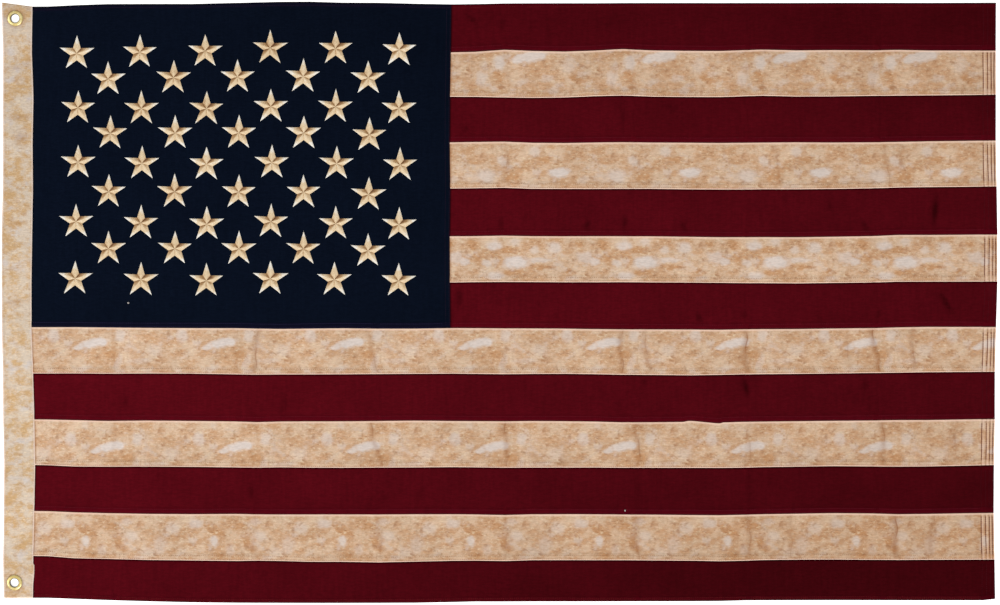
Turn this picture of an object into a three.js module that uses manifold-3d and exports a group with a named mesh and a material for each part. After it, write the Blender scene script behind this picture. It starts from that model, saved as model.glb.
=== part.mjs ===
// A sewn cotton flag, three feet by five, lying face up on a flat surface: a star field and seven
// short stripes, six long stripes, and a canvas heading with two brass grommets.
// Millimetres. +X runs along the fly from the heading, +Y up the hoist, +Z out of the face. The
// origin is the middle of the flag's box, on the surface that it lies on.
import * as THREE from "three";
import { mergeVertices } from "three/addons/utils/BufferGeometryUtils.js";
import Module from "manifold-3d";

const wasm = await Module();
wasm.setup();

// Whole flag
const FLY = 1524;
const GAP = 0.3;
const LEFT = -FLY / 2;
const RIGHT = FLY / 2;

// Cloth: the plain panels, and what a folded hem or a felled seam adds
const CLOTH = 1.0;
const FELL_EXTRA = 0.6;
const FELL_STEP = 1.6;
const FELL_WIDTH = 7.6;
const HEM_WIDTH = 5.5;
const FLY_HEM_WIDTH = 20;

// Seams and edges by level: 0 is the top edge, 1 to 12 are the seams between stripes and 13 is the
// bottom edge. The canton ends at level 7. Each list gives heights at the places in SEAM_X, and the
// seams beside the canton start at the last place before its edge.
const CANTON_LEVEL = 7;
const BOTTOM_LEVEL = 13;
const SEAM_X = [
  -716, -690, -650, -600, -540, -470, -400, -370, -335, -290, -240, -186, -130,
  -70, -38, 8, 50, 100, 150, 202, 245, 290, 338, 375, 410, 460, 510, 571, 610, 655, 757,
];
const SEAM_HEIGHTS = [
  [
    452.2, 452.4, 454.6, 456.3, 456.5, 456.5, 458.2, 458.9, 459.8, 460, 458.5, 458.3, 456.9,
    455.9, 456.3, 457.3, 457.5, 457.6, 457.6, 457.9, 458, 458, 457.9, 458, 458, 458, 458.2,
    458.2, 458.2, 458.1, 458.4,
  ],
  [
    382.3, 383, 386.2, 384.4, 383.4, 384.9, 387.3, 385.1, 384.5, 384.3, 385.5, 386.5, 385.2,
    385.7, 385.2, 386.1, 385.1, 384.9,
  ],
  [
    314.4, 314.3, 313.3, 312.7, 313.3, 315.2, 316.3, 314.6, 314, 313.9, 315.1, 316, 314.7,
    315, 315.8, 316.1, 316.4, 317.5,
  ],
  [
    244.6, 245.1, 245.7, 243.9, 243.5, 244.3, 244.8, 244.3, 244, 243.6, 244, 244.2, 244.6,
    244.3, 244.6, 245.2, 246.1, 247.4,
  ],
  [
    174.1, 174.4, 175.1, 173.6, 173.4, 173.3, 173.5, 173.5, 172.7, 172.5, 172.4, 172.9, 172.8,
    173.4, 174.3, 175.6, 176.2, 177.1,
  ],
  [
    100.9, 101.1, 101.9, 101, 100.8, 101, 100.9, 100.8, 100.1, 99.4, 99.5, 99.6, 99.4, 100.2,
    101.1, 102.9, 102.9, 103.6,
  ],
  [
    30.3, 30.8, 31.1, 30.9, 30.6, 30.6, 30.8, 30.4, 30.2, 29.8, 29.3, 29.3, 28.9, 29.6, 30.3,
    31.5, 31.6, 31.7,
  ],
  [
    -38.2, -38.2, -38.1, -38.6, -39.2, -39.6, -39.7, -40.3, -40.8, -40.3, -39.8, -40.4, -40.4,
    -39.5, -39.6, -40, -40.1, -40.3, -41.1, -41.5, -41.6, -41.7, -42.1, -41.4, -41.2, -41,
    -40.2, -39.6, -38.5, -37.7, -37.8,
  ],
  [
    -108.9, -108.9, -108.8, -109.2, -108.9, -109.1, -110.3, -110.7, -110.4, -110.4, -110.2,
    -109.8, -109.4, -109.1, -109.5, -110, -109.6, -109.4, -110, -110.8, -111.1, -111.7, -111,
    -110.3, -110, -109.5, -108.9, -108.1, -107.6, -107, -106.3,
  ],
  [
    -179.2, -179.4, -180.4, -181.6, -181, -181.6, -182.4, -183.4, -182.4, -182.3, -182.2,
    -181.7, -181.1, -181.7, -181.9, -182.2, -181.7, -182, -182.5, -183.7, -183.6, -183, -184,
    -182.9, -182.6, -182, -181.4, -180.9, -180.3, -180.2, -178.6,
  ],
  [
    -248.8, -249.2, -251.2, -251.4, -251.3, -251.7, -252.6, -252.9, -252.4, -252.9, -253.1,
    -252.8, -252.6, -252.1, -252.4, -253, -252.8, -252.8, -252.7, -253.1, -253.1, -253.2,
    -253.3, -252.9, -252.2, -251.4, -250.6, -251.1, -251.3, -251.1, -249,
  ],
  [
    -319.4, -319.6, -321.4, -322.6, -323.7, -324.2, -323.8, -324.5, -324.7, -324.6, -324.6,
    -324.7, -324.4, -324.3, -324.6, -325.5, -324.4, -324.2, -324.4, -324.7, -324.9, -325.5,
    -325.9, -325, -324.3, -323.5, -322.6, -323.1, -324.3, -323.8, -322.1,
  ],
  [
    -387.8, -388.2, -391.5, -392.5, -394.1, -394.9, -395.7, -395.1, -395.7, -396.9, -396.9,
    -397.9, -396.7, -395.4, -395.1, -395.8, -394.5, -394.4, -394.5, -394.5, -394.9, -395.2,
    -396.1, -395.3, -394.3, -393.6, -393.4, -393.9, -394.1, -393.8, -393.5,
  ],
  [
    -452, -452.1, -453.8, -455.6, -457.4, -459, -459.7, -459.8, -459.9, -460, -460, -459.9,
    -459.7, -458.6, -457.8, -457.8, -457.6, -457.6, -457.6, -457.5, -457.4, -457.3, -457, -456,
    -455.9, -455.7, -455.6, -455.7, -455.8, -455.9, -455.9,
  ],
];
const CORNER_RISE = 2.4;

// How far the four upright lines stand from the left or right side of the box, level by level
const HOIST_EDGE_IN = [0.7, 2.5, 2.2, 2.2, 2.1, 0.1, 0, 0.4, 2, 2.6, 4.1, 3.5, 2.8, 4];
const HEADING_SEAM_IN = [
  48.7, 47.1, 49.6, 48.2, 48.8, 47.6, 46.6, 46.7, 49.1, 51.1, 52.2, 50.9, 49.5, 49.5,
];
const CANTON_EDGE_IN = [689, 688, 686.9, 686.3, 687.2, 686.3, 686.6, 687.4];
const FLY_EDGE_IN = [2.2, 2.5, 2.4, 2.5, 1.1, 0, 0, 2.1, 3.9, 4, 5.3, 5.7, 4.3, 3.5];

// Old fold creases: soft ridges across the cloth, low ones in the canton
const CREASES = [
  { x: -370, height: 0.5 },
  { x: -186, height: 0.5 },
  { x: 8, height: 1.2 },
  { x: 202, height: 1.8 },
  { x: 375, height: 2.2 },
  { x: 571, height: 2.2 },
];
const CREASE_HALF_WIDTH = 12;
const CREASE_SWAY = 3;
const CREASE_SWAY_TURN = 1.7;

// Canvas heading, folded double, with slanted top end and a soft folded edge at the hoist
const HEADING_THICKNESS = 2;
const HEADING_EDGE_THICKNESS = 1.2;
const HEADING_EDGE_WIDTH = 3;
const HEADING_SLANT = 6.5;

// Brass grommets: an eyelet set from the front and rolled over a washer behind. Heights are
// measured from the heading's underside.
const GROMMETS = [
  { name: "top", x: -740, y: 434 },
  { name: "bottom", x: -741, y: -428.4 },
];
const GROMMET_SEGMENTS = 24;
const HOLE_RADIUS = 6.35;
const BARREL_RADIUS = 7;
const FLANGE_RADIUS = 11.9;
const FLANGE_HEIGHT = 1.6;
const WASHER_THICKNESS = 0.8;
const LIP_THICKNESS = 0.5;
const LIP_RADIUS = 9.3;
const EDGE_BEVEL = 0.4;
const CROWN_FROM_RIM = 1.7;
const CROWN_FROM_HOLE = 1.9;
const GROMMET_LIFT = LIP_THICKNESS + GAP + WASHER_THICKNESS + GAP;
const LIFT_FLAT_REACH = 14;
const LIFT_REACH = 70;
const LIFT_REACH_INTO_PANEL = 60;

// Embroidered stars: nine rows, six and five in turn, each as [x, y]; hooping has let them drift
const STAR_RADIUS = 27;
const STAR_NOTCH = 0.41;
const STARS = [
  [-646.3, 380.7], [-549.8, 382.3], [-450, 384.1], [-350.7, 388.7], [-250.5, 388.4], [-153.3, 385.9],
  [-598.5, 341.3], [-498.4, 343.7], [-400.6, 344.6], [-300, 345.3], [-200.5, 342.9],
  [-644.5, 297.4], [-547.6, 296.4], [-448, 296.2], [-349.5, 299.3], [-250.6, 299.1], [-153.6, 296.7],
  [-595.1, 258.3], [-495.9, 258.7], [-398.4, 258.9], [-299.1, 258.7], [-198.9, 255.7],
  [-644.4, 214.2], [-546.5, 212.5], [-448.1, 211.1], [-347.8, 213.6], [-248.9, 212.1], [-151.9, 209.9],
  [-597.6, 168.9], [-496.7, 168.9], [-398.7, 168.4], [-299.6, 168.3], [-200, 164.6],
  [-647.5, 123.5], [-548.4, 121.1], [-447.4, 119.4], [-349.5, 123.1], [-250.2, 120.1], [-153.6, 118.5],
  [-597.9, 82.1], [-496.3, 82], [-398.3, 81.5], [-299.8, 81.5], [-200.9, 78.5],
  [-648.9, 36.2], [-548.2, 34.7], [-448.2, 32.8], [-350.6, 35.9], [-252.4, 34.4], [-154.3, 32.4],
];
const STAR_POINTS = 5;
const STAR_TILT = -0.013;
const STAR_RIM = 0.35;
const STAR_RIDGE = 1.3;
const STAR_RIDGE_REACH = 0.55;
const STAR_VALLEY = 0.6;
const STAR_CENTRE = 0.8;
const STAR_SUNK = 0.5;

// Colours and finishes
const MATERIALS = {
  navy: new THREE.MeshStandardMaterial({ color: 0x0c1120, roughness: 0.9, metalness: 0 }),
  maroon: new THREE.MeshStandardMaterial({ color: 0x4e0a15, roughness: 0.9, metalness: 0 }),
  tan: new THREE.MeshStandardMaterial({ color: 0xcfae8f, roughness: 0.9, metalness: 0 }),
  canvas: new THREE.MeshStandardMaterial({ color: 0xd4baa0, roughness: 0.95, metalness: 0 }),
  brass: new THREE.MeshStandardMaterial({ color: 0xc8a24a, roughness: 0.3, metalness: 1 }),
};

function clamp01(value) {
  return Math.min(1, Math.max(0, value));
}

// Value of a list at a level that may fall between two entries
function atLevel(list, level) {
  const low = Math.min(Math.floor(level), list.length - 1);
  const high = Math.min(low + 1, list.length - 1);
  return THREE.MathUtils.lerp(list[low], list[high], level - low);
}

const hoistEdge = (level) => LEFT + atLevel(HOIST_EDGE_IN, level);
const headingSeam = (level) => LEFT + atLevel(HEADING_SEAM_IN, level);
const cantonEdge = (level) => LEFT + atLevel(CANTON_EDGE_IN, Math.min(level, CANTON_LEVEL));
const flyEdge = (level) => RIGHT - atLevel(FLY_EDGE_IN, level);

// Height of a whole level at x, from its list
function seamHeight(level, x) {
  const heights = SEAM_HEIGHTS[level];
  const places = SEAM_X.slice(-heights.length);
  const next = places.findIndex((place) => place > x);
  let height = next < 0 ? heights.at(-1) : heights[0];
  if (next > 0) {
    const share = (x - places[next - 1]) / (places[next] - places[next - 1]);
    height = THREE.MathUtils.lerp(heights[next - 1], heights[next], share);
  }
  if (level === 0) {
    const toHoist = (headingSeam(0) - x) / (headingSeam(0) - hoistEdge(0));
    return height + HEADING_SLANT * clamp01(toHoist);
  }
  if (level === BOTTOM_LEVEL) {
    const toFly = (x - flyEdge(level) + FLY_HEM_WIDTH) / FLY_HEM_WIDTH;
    return height + CORNER_RISE * clamp01(toFly);
  }
  return height;
}

function levelHeight(level, x) {
  const low = Math.floor(level);
  const high = Math.min(low + 1, BOTTOM_LEVEL);
  return THREE.MathUtils.lerp(seamHeight(low, x), seamHeight(high, x), level - low);
}

// Level whose height at the hoist is y
function levelOf(y) {
  const above = SEAM_HEIGHTS.findLastIndex(([height]) => height >= y);
  const low = Math.min(Math.max(above, 0), BOTTOM_LEVEL - 1);
  const [high, next] = [SEAM_HEIGHTS[low][0], SEAM_HEIGHTS[low + 1][0]];
  return low + (high - y) / (high - next);
}

// Creases sway a little from seam to seam below and beside the canton
function creaseX(crease, level) {
  const free = crease.x > cantonEdge(0) || level > CANTON_LEVEL ? 1 : 0;
  return crease.x + free * CREASE_SWAY * Math.sin(CREASE_SWAY_TURN * level + crease.x);
}

// How high the cloth's underside stands at a point: over creases and round the grommets
function lift(x, y, level) {
  let height = 0;
  for (const crease of CREASES) {
    const away = Math.abs(x - creaseX(crease, level)) / CREASE_HALF_WIDTH;
    height += crease.height * clamp01(1 - away);
  }
  for (const grommet of GROMMETS) {
    const along = (Math.abs(y - grommet.y) - LIFT_FLAT_REACH) / (LIFT_REACH - LIFT_FLAT_REACH);
    const across = (x - headingSeam(level)) / LIFT_REACH_INTO_PANEL;
    height += GROMMET_LIFT * (1 - clamp01(along)) * (1 - clamp01(across));
  }
  return height;
}

// A sheet over a grid of columns and rows. A column gives x at a level, a row gives a level and a
// shift in y from it, and either may be thick where the cloth is folded or felled.
function sheetGeometry(columns, rows, thicknessAt) {
  const geometry = new THREE.BoxGeometry(1, 1, 1, columns.length - 1, rows.length - 1, 1);
  const position = geometry.attributes.position;
  for (let index = 0; index < position.count; index += 1) {
    const column = columns[Math.round((position.getX(index) + 0.5) * (columns.length - 1))];
    const row = rows[Math.round((0.5 - position.getY(index)) * (rows.length - 1))];
    const x = column.x(row.level);
    const y = levelHeight(row.level, x) + row.shift;
    const top = position.getZ(index) > 0 ? thicknessAt(column, row) : 0;
    position.setXYZ(index, x, y, lift(x, y, row.level) + top);
  }
  return geometry;
}

const clothThickness = (column, row) => CLOTH + (column.thick || row.thick ? FELL_EXTRA : 0);

const column = (line, offset, thick = false) => ({ x: (level) => line(level) + offset, thick });
const row = (level, shift, thick = false) => ({ level, shift, thick });

// Three columns over each crease that lies between two places along the fly
function creaseColumns(start, end) {
  const columns = [];
  for (const crease of CREASES.filter(({ x }) => x > start && x < end)) {
    for (const side of [-1, 0, 1]) {
      columns.push(column((level) => creaseX(crease, level), side * CREASE_HALF_WIDTH));
    }
  }
  return columns;
}

const HEADING_SIDE = [
  column(headingSeam, GAP / 2),
  column(headingSeam, LIFT_REACH_INTO_PANEL),
];
const FLY_SIDE = [
  column(flyEdge, -FLY_HEM_WIDTH - FELL_STEP),
  column(flyEdge, -FLY_HEM_WIDTH, true),
  column(flyEdge, 0, true),
];

// Plain columns where the seams bend, at the places in SEAM_X that no crease has taken
const BEND_MARGIN = 10;

function bendColumns(start, end) {
  const clear = SEAM_X.filter((x) => x > start && x < end)
    .filter((x) => CREASES.every((crease) => Math.abs(x - crease.x) > CREASE_HALF_WIDTH));
  return clear.map((x) => column(() => x, 0));
}

function panelColumns(start, end) {
  const columns = [...bendColumns(start, end), ...creaseColumns(start, end)];
  return columns.sort((a, b) => a.x(BOTTOM_LEVEL) - b.x(BOTTOM_LEVEL));
}

const FIRST_BEND = LEFT + HEADING_SEAM_IN[0] + LIFT_REACH_INTO_PANEL + BEND_MARGIN;
const LAST_BEND = RIGHT - FLY_HEM_WIDTH - 2 * BEND_MARGIN;
const CANTON_END = cantonEdge(0);

const CANTON_COLUMNS = [
  ...HEADING_SIDE,
  ...panelColumns(FIRST_BEND, CANTON_END - 2 * BEND_MARGIN),
  column(cantonEdge, -FELL_WIDTH - FELL_STEP),
  column(cantonEdge, -FELL_WIDTH, true),
  column(cantonEdge, -GAP / 2, true),
];
const SHORT_COLUMNS = [
  column(cantonEdge, GAP / 2),
  ...panelColumns(CANTON_END + BEND_MARGIN, LAST_BEND),
  ...FLY_SIDE,
];
const LONG_COLUMNS = [
  ...HEADING_SIDE,
  ...panelColumns(FIRST_BEND, LAST_BEND),
  ...FLY_SIDE,
];

// Rows at a top edge and at a lower edge: a hem at the flag's own edge, a lapped seam elsewhere
function topRows(level) {
  if (level > 0) {
    return [row(level, -GAP / 2)];
  }
  return [row(0, 0, true), row(0, -HEM_WIDTH, true), row(0, -HEM_WIDTH - FELL_STEP)];
}

function lowerRows(level) {
  const width = level === BOTTOM_LEVEL ? HEM_WIDTH : FELL_WIDTH;
  const end = level === BOTTOM_LEVEL ? 0 : GAP / 2;
  return [row(level, width + FELL_STEP), row(level, width, true), row(level, end, true)];
}

function stripe(number) {
  const columns = number <= CANTON_LEVEL ? SHORT_COLUMNS : LONG_COLUMNS;
  const rows = [...topRows(number - 1), ...lowerRows(number)];
  const mesh = new THREE.Mesh(
    sheetGeometry(columns, rows, clothThickness),
    number % 2 === 1 ? MATERIALS.maroon : MATERIALS.tan,
  );
  mesh.name = `stripe_${String(number).padStart(2, "0")}`;
  return mesh;
}

// Closed mesh to solid and back, for joining and cutting
function solidOf(geometry) {
  geometry.deleteAttribute("normal");
  geometry.deleteAttribute("uv");
  const merged = mergeVertices(geometry, 1e-4);
  const index = merged.index.array;
  const triangles = [];
  for (let start = 0; start < index.length; start += 3) {
    const [a, b, c] = index.slice(start, start + 3);
    if (a !== b && b !== c && c !== a) {
      triangles.push(a, b, c);
    }
  }
  return new wasm.Manifold(new wasm.Mesh({
    numProp: 3,
    vertProperties: new Float32Array(merged.attributes.position.array),
    triVerts: new Uint32Array(triangles),
  }));
}

function geometryOf(solid) {
  const mesh = solid.getMesh();
  const geometry = new THREE.BufferGeometry();
  geometry.setAttribute("position", new THREE.BufferAttribute(mesh.vertProperties, 3));
  geometry.setIndex(new THREE.BufferAttribute(mesh.triVerts, 1));
  geometry.computeVertexNormals();
  return geometry;
}

// A padded star: five ridged arms that fall to valleys at the notches, sunk a little in the cloth
function starGeometry(centreX, centreY, tilt) {
  const profile = [
    new THREE.Vector2(0, -STAR_SUNK),
    new THREE.Vector2(1, -STAR_SUNK),
    new THREE.Vector2(1, STAR_RIM),
    new THREE.Vector2(STAR_RIDGE_REACH, STAR_RIDGE),
    new THREE.Vector2(0, STAR_CENTRE),
  ];
  const geometry = new THREE.LatheGeometry(profile, 2 * STAR_POINTS);
  geometry.rotateX(Math.PI / 2);
  const position = geometry.attributes.position;
  for (let index = 0; index < position.count; index += 1) {
    const reach = Math.hypot(position.getX(index), position.getY(index));
    const turn = Math.atan2(position.getY(index), position.getX(index));
    const onNotch = Math.round((turn - Math.PI / 2) / (Math.PI / STAR_POINTS)) % 2 !== 0;
    const radius = STAR_RADIUS * reach * (onNotch ? STAR_NOTCH : 1);
    const x = centreX + radius * Math.cos(turn + tilt);
    const y = centreY + radius * Math.sin(turn + tilt);
    const isRidge = position.getZ(index) === STAR_RIDGE;
    const height = isRidge && onNotch ? STAR_VALLEY : position.getZ(index);
    position.setXYZ(index, x, y, lift(x, y, 1) + CLOTH + height);
  }
  return geometry;
}

// The canton: one panel with its fifty stars raised on it
function canton() {
  const rows = [...topRows(0)];
  for (let level = 1; level < CANTON_LEVEL; level += 1) {
    rows.push(row(level, 0));
  }
  rows.push(...lowerRows(CANTON_LEVEL));
  let solid = solidOf(sheetGeometry(CANTON_COLUMNS, rows, clothThickness));
  STARS.forEach(([x, y], index) => {
    const tilt = STAR_TILT * (1 + Math.sin(3 * index));
    solid = solid.add(solidOf(starGeometry(x, y, tilt)));
  });
  const mesh = new THREE.Mesh(geometryOf(solid), MATERIALS.navy);
  mesh.name = "canton";
  return mesh;
}

// The heading: a folded strip with a hole for each grommet
function heading() {
  const columns = [
    { ...column(hoistEdge, 0), edge: true },
    column(hoistEdge, HEADING_EDGE_WIDTH),
    column(headingSeam, -GAP / 2),
  ];
  const levels = SEAM_HEIGHTS.map((_, level) => level);
  for (const grommet of GROMMETS) {
    for (const reach of [LIFT_FLAT_REACH, LIFT_REACH]) {
      for (const side of [-1, 1]) {
        const y = grommet.y + side * reach;
        if (y < SEAM_HEIGHTS[0][0] && y > SEAM_HEIGHTS[BOTTOM_LEVEL][0]) {
          levels.push(levelOf(y));
        }
      }
    }
  }
  levels.sort((a, b) => a - b);
  const thickness = ({ edge }) => (edge ? HEADING_EDGE_THICKNESS : HEADING_THICKNESS);
  let solid = solidOf(sheetGeometry(columns, levels.map((level) => row(level, 0)), thickness));
  for (const grommet of GROMMETS) {
    const depth = GROMMET_LIFT + HEADING_THICKNESS;
    const radius = BARREL_RADIUS + GAP;
    const hole = new THREE.CylinderGeometry(radius, radius, 2 * depth, GROMMET_SEGMENTS);
    hole.rotateX(Math.PI / 2);
    hole.translate(grommet.x, grommet.y, depth);
    solid = solid.subtract(solidOf(hole));
  }
  const mesh = new THREE.Mesh(geometryOf(solid), MATERIALS.canvas);
  mesh.name = "heading";
  return mesh;
}

// A closed ring of brass about the grommet's axis, from a profile of radius and height
function brassRing(name, grommet, points) {
  const profile = points.map(([radius, height]) => new THREE.Vector2(radius, height));
  profile.push(profile[0].clone());
  const geometry = new THREE.LatheGeometry(profile, GROMMET_SEGMENTS);
  geometry.rotateX(Math.PI / 2);
  const mesh = new THREE.Mesh(geometry, MATERIALS.brass);
  mesh.name = name;
  mesh.position.set(grommet.x, grommet.y, GROMMET_LIFT);
  return mesh;
}

function eyelet(grommet) {
  const seat = HEADING_THICKNESS + GAP;
  const crown = seat + FLANGE_HEIGHT;
  const lipTop = -WASHER_THICKNESS - 2 * GAP;
  return brassRing(`eyelet_${grommet.name}`, grommet, [
    [HOLE_RADIUS + EDGE_BEVEL, -GROMMET_LIFT],
    [LIP_RADIUS - EDGE_BEVEL, -GROMMET_LIFT],
    [LIP_RADIUS, lipTop - LIP_THICKNESS / 2],
    [LIP_RADIUS - EDGE_BEVEL, lipTop],
    [BARREL_RADIUS, lipTop],
    [BARREL_RADIUS, seat],
    [FLANGE_RADIUS, seat],
    [FLANGE_RADIUS, seat + EDGE_BEVEL],
    [FLANGE_RADIUS - EDGE_BEVEL, crown - EDGE_BEVEL],
    [FLANGE_RADIUS - CROWN_FROM_RIM, crown],
    [HOLE_RADIUS + CROWN_FROM_HOLE, crown],
    [HOLE_RADIUS + EDGE_BEVEL, crown - EDGE_BEVEL],
    [HOLE_RADIUS, seat],
    [HOLE_RADIUS, -GROMMET_LIFT + EDGE_BEVEL],
  ]);
}

function washer(grommet) {
  const low = -GAP - WASHER_THICKNESS;
  return brassRing(`washer_${grommet.name}`, grommet, [
    [BARREL_RADIUS + GAP, low],
    [FLANGE_RADIUS - 2 * EDGE_BEVEL, low],
    [FLANGE_RADIUS - EDGE_BEVEL / 2, low + EDGE_BEVEL],
    [FLANGE_RADIUS, -GAP],
    [BARREL_RADIUS + GAP, -GAP],
  ]);
}

const flag = new THREE.Group();
flag.add(heading(), canton());
for (let number = 1; number <= BOTTOM_LEVEL; number += 1) {
  flag.add(stripe(number));
}
for (const grommet of GROMMETS) {
  flag.add(eyelet(grommet), washer(grommet));
}

export default flag;
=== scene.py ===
import math

import bpy
import numpy as np
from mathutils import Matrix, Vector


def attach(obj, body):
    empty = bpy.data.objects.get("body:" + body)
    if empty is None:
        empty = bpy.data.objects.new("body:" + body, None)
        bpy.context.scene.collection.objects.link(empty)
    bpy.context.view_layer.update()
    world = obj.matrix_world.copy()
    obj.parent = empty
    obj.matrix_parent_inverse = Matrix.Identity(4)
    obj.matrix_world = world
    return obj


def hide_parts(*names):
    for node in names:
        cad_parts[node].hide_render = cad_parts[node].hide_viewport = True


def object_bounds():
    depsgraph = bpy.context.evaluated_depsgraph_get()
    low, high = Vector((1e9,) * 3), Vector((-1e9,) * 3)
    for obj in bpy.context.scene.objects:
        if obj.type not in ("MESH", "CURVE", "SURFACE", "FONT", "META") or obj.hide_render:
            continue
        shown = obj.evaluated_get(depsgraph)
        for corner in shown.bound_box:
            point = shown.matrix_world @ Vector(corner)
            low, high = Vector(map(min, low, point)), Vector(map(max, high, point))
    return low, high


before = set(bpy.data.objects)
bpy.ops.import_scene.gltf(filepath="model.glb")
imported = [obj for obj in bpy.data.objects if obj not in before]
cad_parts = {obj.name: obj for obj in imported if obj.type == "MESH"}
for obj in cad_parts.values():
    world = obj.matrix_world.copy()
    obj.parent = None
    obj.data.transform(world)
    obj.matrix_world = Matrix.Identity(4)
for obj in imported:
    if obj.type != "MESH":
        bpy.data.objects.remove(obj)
CAD_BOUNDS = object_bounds()
BODY = "root"
MM = 0.001

# Outline and seams, as the solids have them. Level 0 is the top edge, 1 to 12 are seams, 13 is the
# bottom edge, and the canton ends at level 7. Seams beside the canton have fewer heights, which go
# with the last places of SEAM_X.
LEFT, RIGHT = (1000 * value for value in (CAD_BOUNDS[0][0], CAD_BOUNDS[1][0]))
LEVELS = np.arange(14)
CANTON_LEVEL = 7
BOTTOM_LEVEL = 13
SEAM_X = [
    -716, -690, -650, -600, -540, -470, -400, -370, -335, -290, -240, -186, -130, -70, -38, 8, 50, 100,
    145, 188, 235, 290, 338, 375, 401, 455, 510, 571, 610, 655, 757,
]
SEAM_HEIGHTS = [
    [
        452.2, 452.4, 454.6, 456.3, 456.5, 456.5, 458.2, 458.9, 459.8, 460, 458.5, 458.3, 456.9, 455.9,
        456.3, 457.3, 457.5, 457.6, 457.6, 457.9, 458, 458, 457.9, 458, 458, 458, 458.2, 458.2, 458.2,
        458.1, 458.4,
    ],
    [
        382.3, 383, 386.2, 384.4, 383.4, 384.9, 387.3, 385.1, 384.5, 384.3, 385.5, 386.5, 385.2, 385.7,
        385.2, 386.1, 385.1, 384.9,
    ],
    [
        314.4, 314.3, 313.3, 312.7, 313.3, 315.2, 316.3, 314.6, 314, 313.9, 315.1, 316, 314.7, 315, 315.8,
        316.1, 316.4, 317.5,
    ],
    [
        244.6, 245.1, 245.7, 243.9, 243.5, 244.3, 244.8, 244.3, 244, 243.6, 244, 244.2, 244.6, 244.3,
        244.6, 245.2, 246.1, 247.4,
    ],
    [
        174.1, 174.4, 175.1, 173.6, 173.4, 173.3, 173.5, 173.5, 172.7, 172.5, 172.4, 172.9, 172.8, 173.4,
        174.3, 175.6, 176.2, 177.1,
    ],
    [
        100.9, 101.1, 101.9, 101, 100.8, 101, 100.9, 100.8, 100.1, 99.4, 99.5, 99.6, 99.4, 100.2, 101.1,
        102.9, 102.9, 103.6,
    ],
    [
        30.3, 30.8, 31.1, 30.9, 30.6, 30.6, 30.8, 30.4, 30.2, 29.8, 29.3, 29.3, 28.9, 29.6, 30.3, 31.5,
        31.6, 31.7,
    ],
    [
        -38.2, -38.2, -38.1, -38.6, -39.2, -39.6, -39.7, -40.3, -40.8, -40.3, -39.8, -40.4, -40.4, -39.5,
        -39.6, -40, -40.1, -40.3, -41.1, -41.5, -41.6, -41.7, -42.1, -41.4, -41.2, -41, -40.2, -39.6,
        -38.5, -37.7, -37.8,
    ],
    [
        -108.9, -108.9, -108.8, -109.2, -108.9, -109.1, -110.3, -110.7, -110.4, -110.4, -110.2, -109.8,
        -109.4, -109.1, -109.5, -110, -109.6, -109.4, -110, -110.8, -111.1, -111.7, -111, -110.3, -110,
        -109.5, -108.9, -108.1, -107.6, -107, -106.3,
    ],
    [
        -179.2, -179.4, -180.4, -181.6, -181, -181.6, -182.4, -183.4, -182.4, -182.3, -182.2, -181.7,
        -181.1, -181.7, -181.9, -182.2, -181.7, -182, -182.5, -183.7, -183.6, -183, -184, -182.9, -182.6,
        -182, -181.4, -180.9, -180.3, -180.2, -178.6,
    ],
    [
        -248.8, -249.2, -251.2, -251.4, -251.3, -251.7, -252.6, -252.9, -252.4, -252.9, -253.1, -252.8,
        -252.6, -252.1, -252.4, -253, -252.8, -252.8, -252.7, -253.1, -253.1, -253.2, -253.3, -252.9,
        -252.2, -251.4, -250.6, -251.1, -251.3, -251.1, -249,
    ],
    [
        -319.4, -319.6, -321.4, -322.6, -323.7, -324.2, -323.8, -324.5, -324.7, -324.6, -324.6, -324.7,
        -324.4, -324.3, -324.6, -325.5, -324.4, -324.2, -324.4, -324.7, -324.9, -325.5, -325.9, -325,
        -324.3, -323.5, -322.6, -323.1, -324.3, -323.8, -322.1,
    ],
    [
        -387.8, -388.2, -391.5, -392.5, -394.1, -394.9, -395.7, -395.1, -395.7, -396.9, -396.9, -397.9,
        -396.7, -395.4, -395.1, -395.8, -394.5, -394.4, -394.5, -394.5, -394.9, -395.2, -396.1, -395.3,
        -394.3, -393.6, -393.4, -393.9, -394.1, -393.8, -393.5,
    ],
    [
        -452, -452.1, -453.8, -455.6, -457.4, -459, -459.7, -459.8, -459.9, -460, -460, -459.9, -459.7,
        -458.6, -457.8, -457.8, -457.6, -457.6, -457.6, -457.5, -457.4, -457.3, -457, -456, -455.9,
        -455.7, -455.6, -455.7, -455.8, -455.9, -455.9,
    ],
]
CORNER_RISE = 2.4
# Where the seam under stripe 9 has slipped: place along it and how far it is off its line
SLIP_LEVEL = 9
SLIP_X, SLIP_OFF = [281, 289, 296, 330, 338, 340], [0, 1.6, 1.5, -1.1, -1.6, 0]
PLAIN_HEIGHTS = [sum(heights) / len(heights) for heights in SEAM_HEIGHTS]
HEADING_SLANT = 6.5
# How far in from the flag's left or right end each upright edge stands, level by level
HOIST_EDGE_IN = [0.7, 2.5, 2.2, 2.2, 2.1, 0.1, 0, 0.4, 2, 2.6, 4.1, 3.5, 2.8, 4]
HEADING_SEAM_IN = [48.7, 47.1, 49.6, 48.2, 48.8, 47.6, 46.6, 46.7, 49.1, 51.1, 52.2, 50.9, 49.5, 49.5]
CANTON_EDGE_IN = [689, 688, 686.9, 686.3, 687.2, 686.3, 686.6, 687.4]
FLY_EDGE_IN = [2.2, 2.5, 2.4, 2.5, 1.1, 0, 0, 2.1, 3.9, 4, 5.3, 5.7, 4.3, 3.5]

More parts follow.
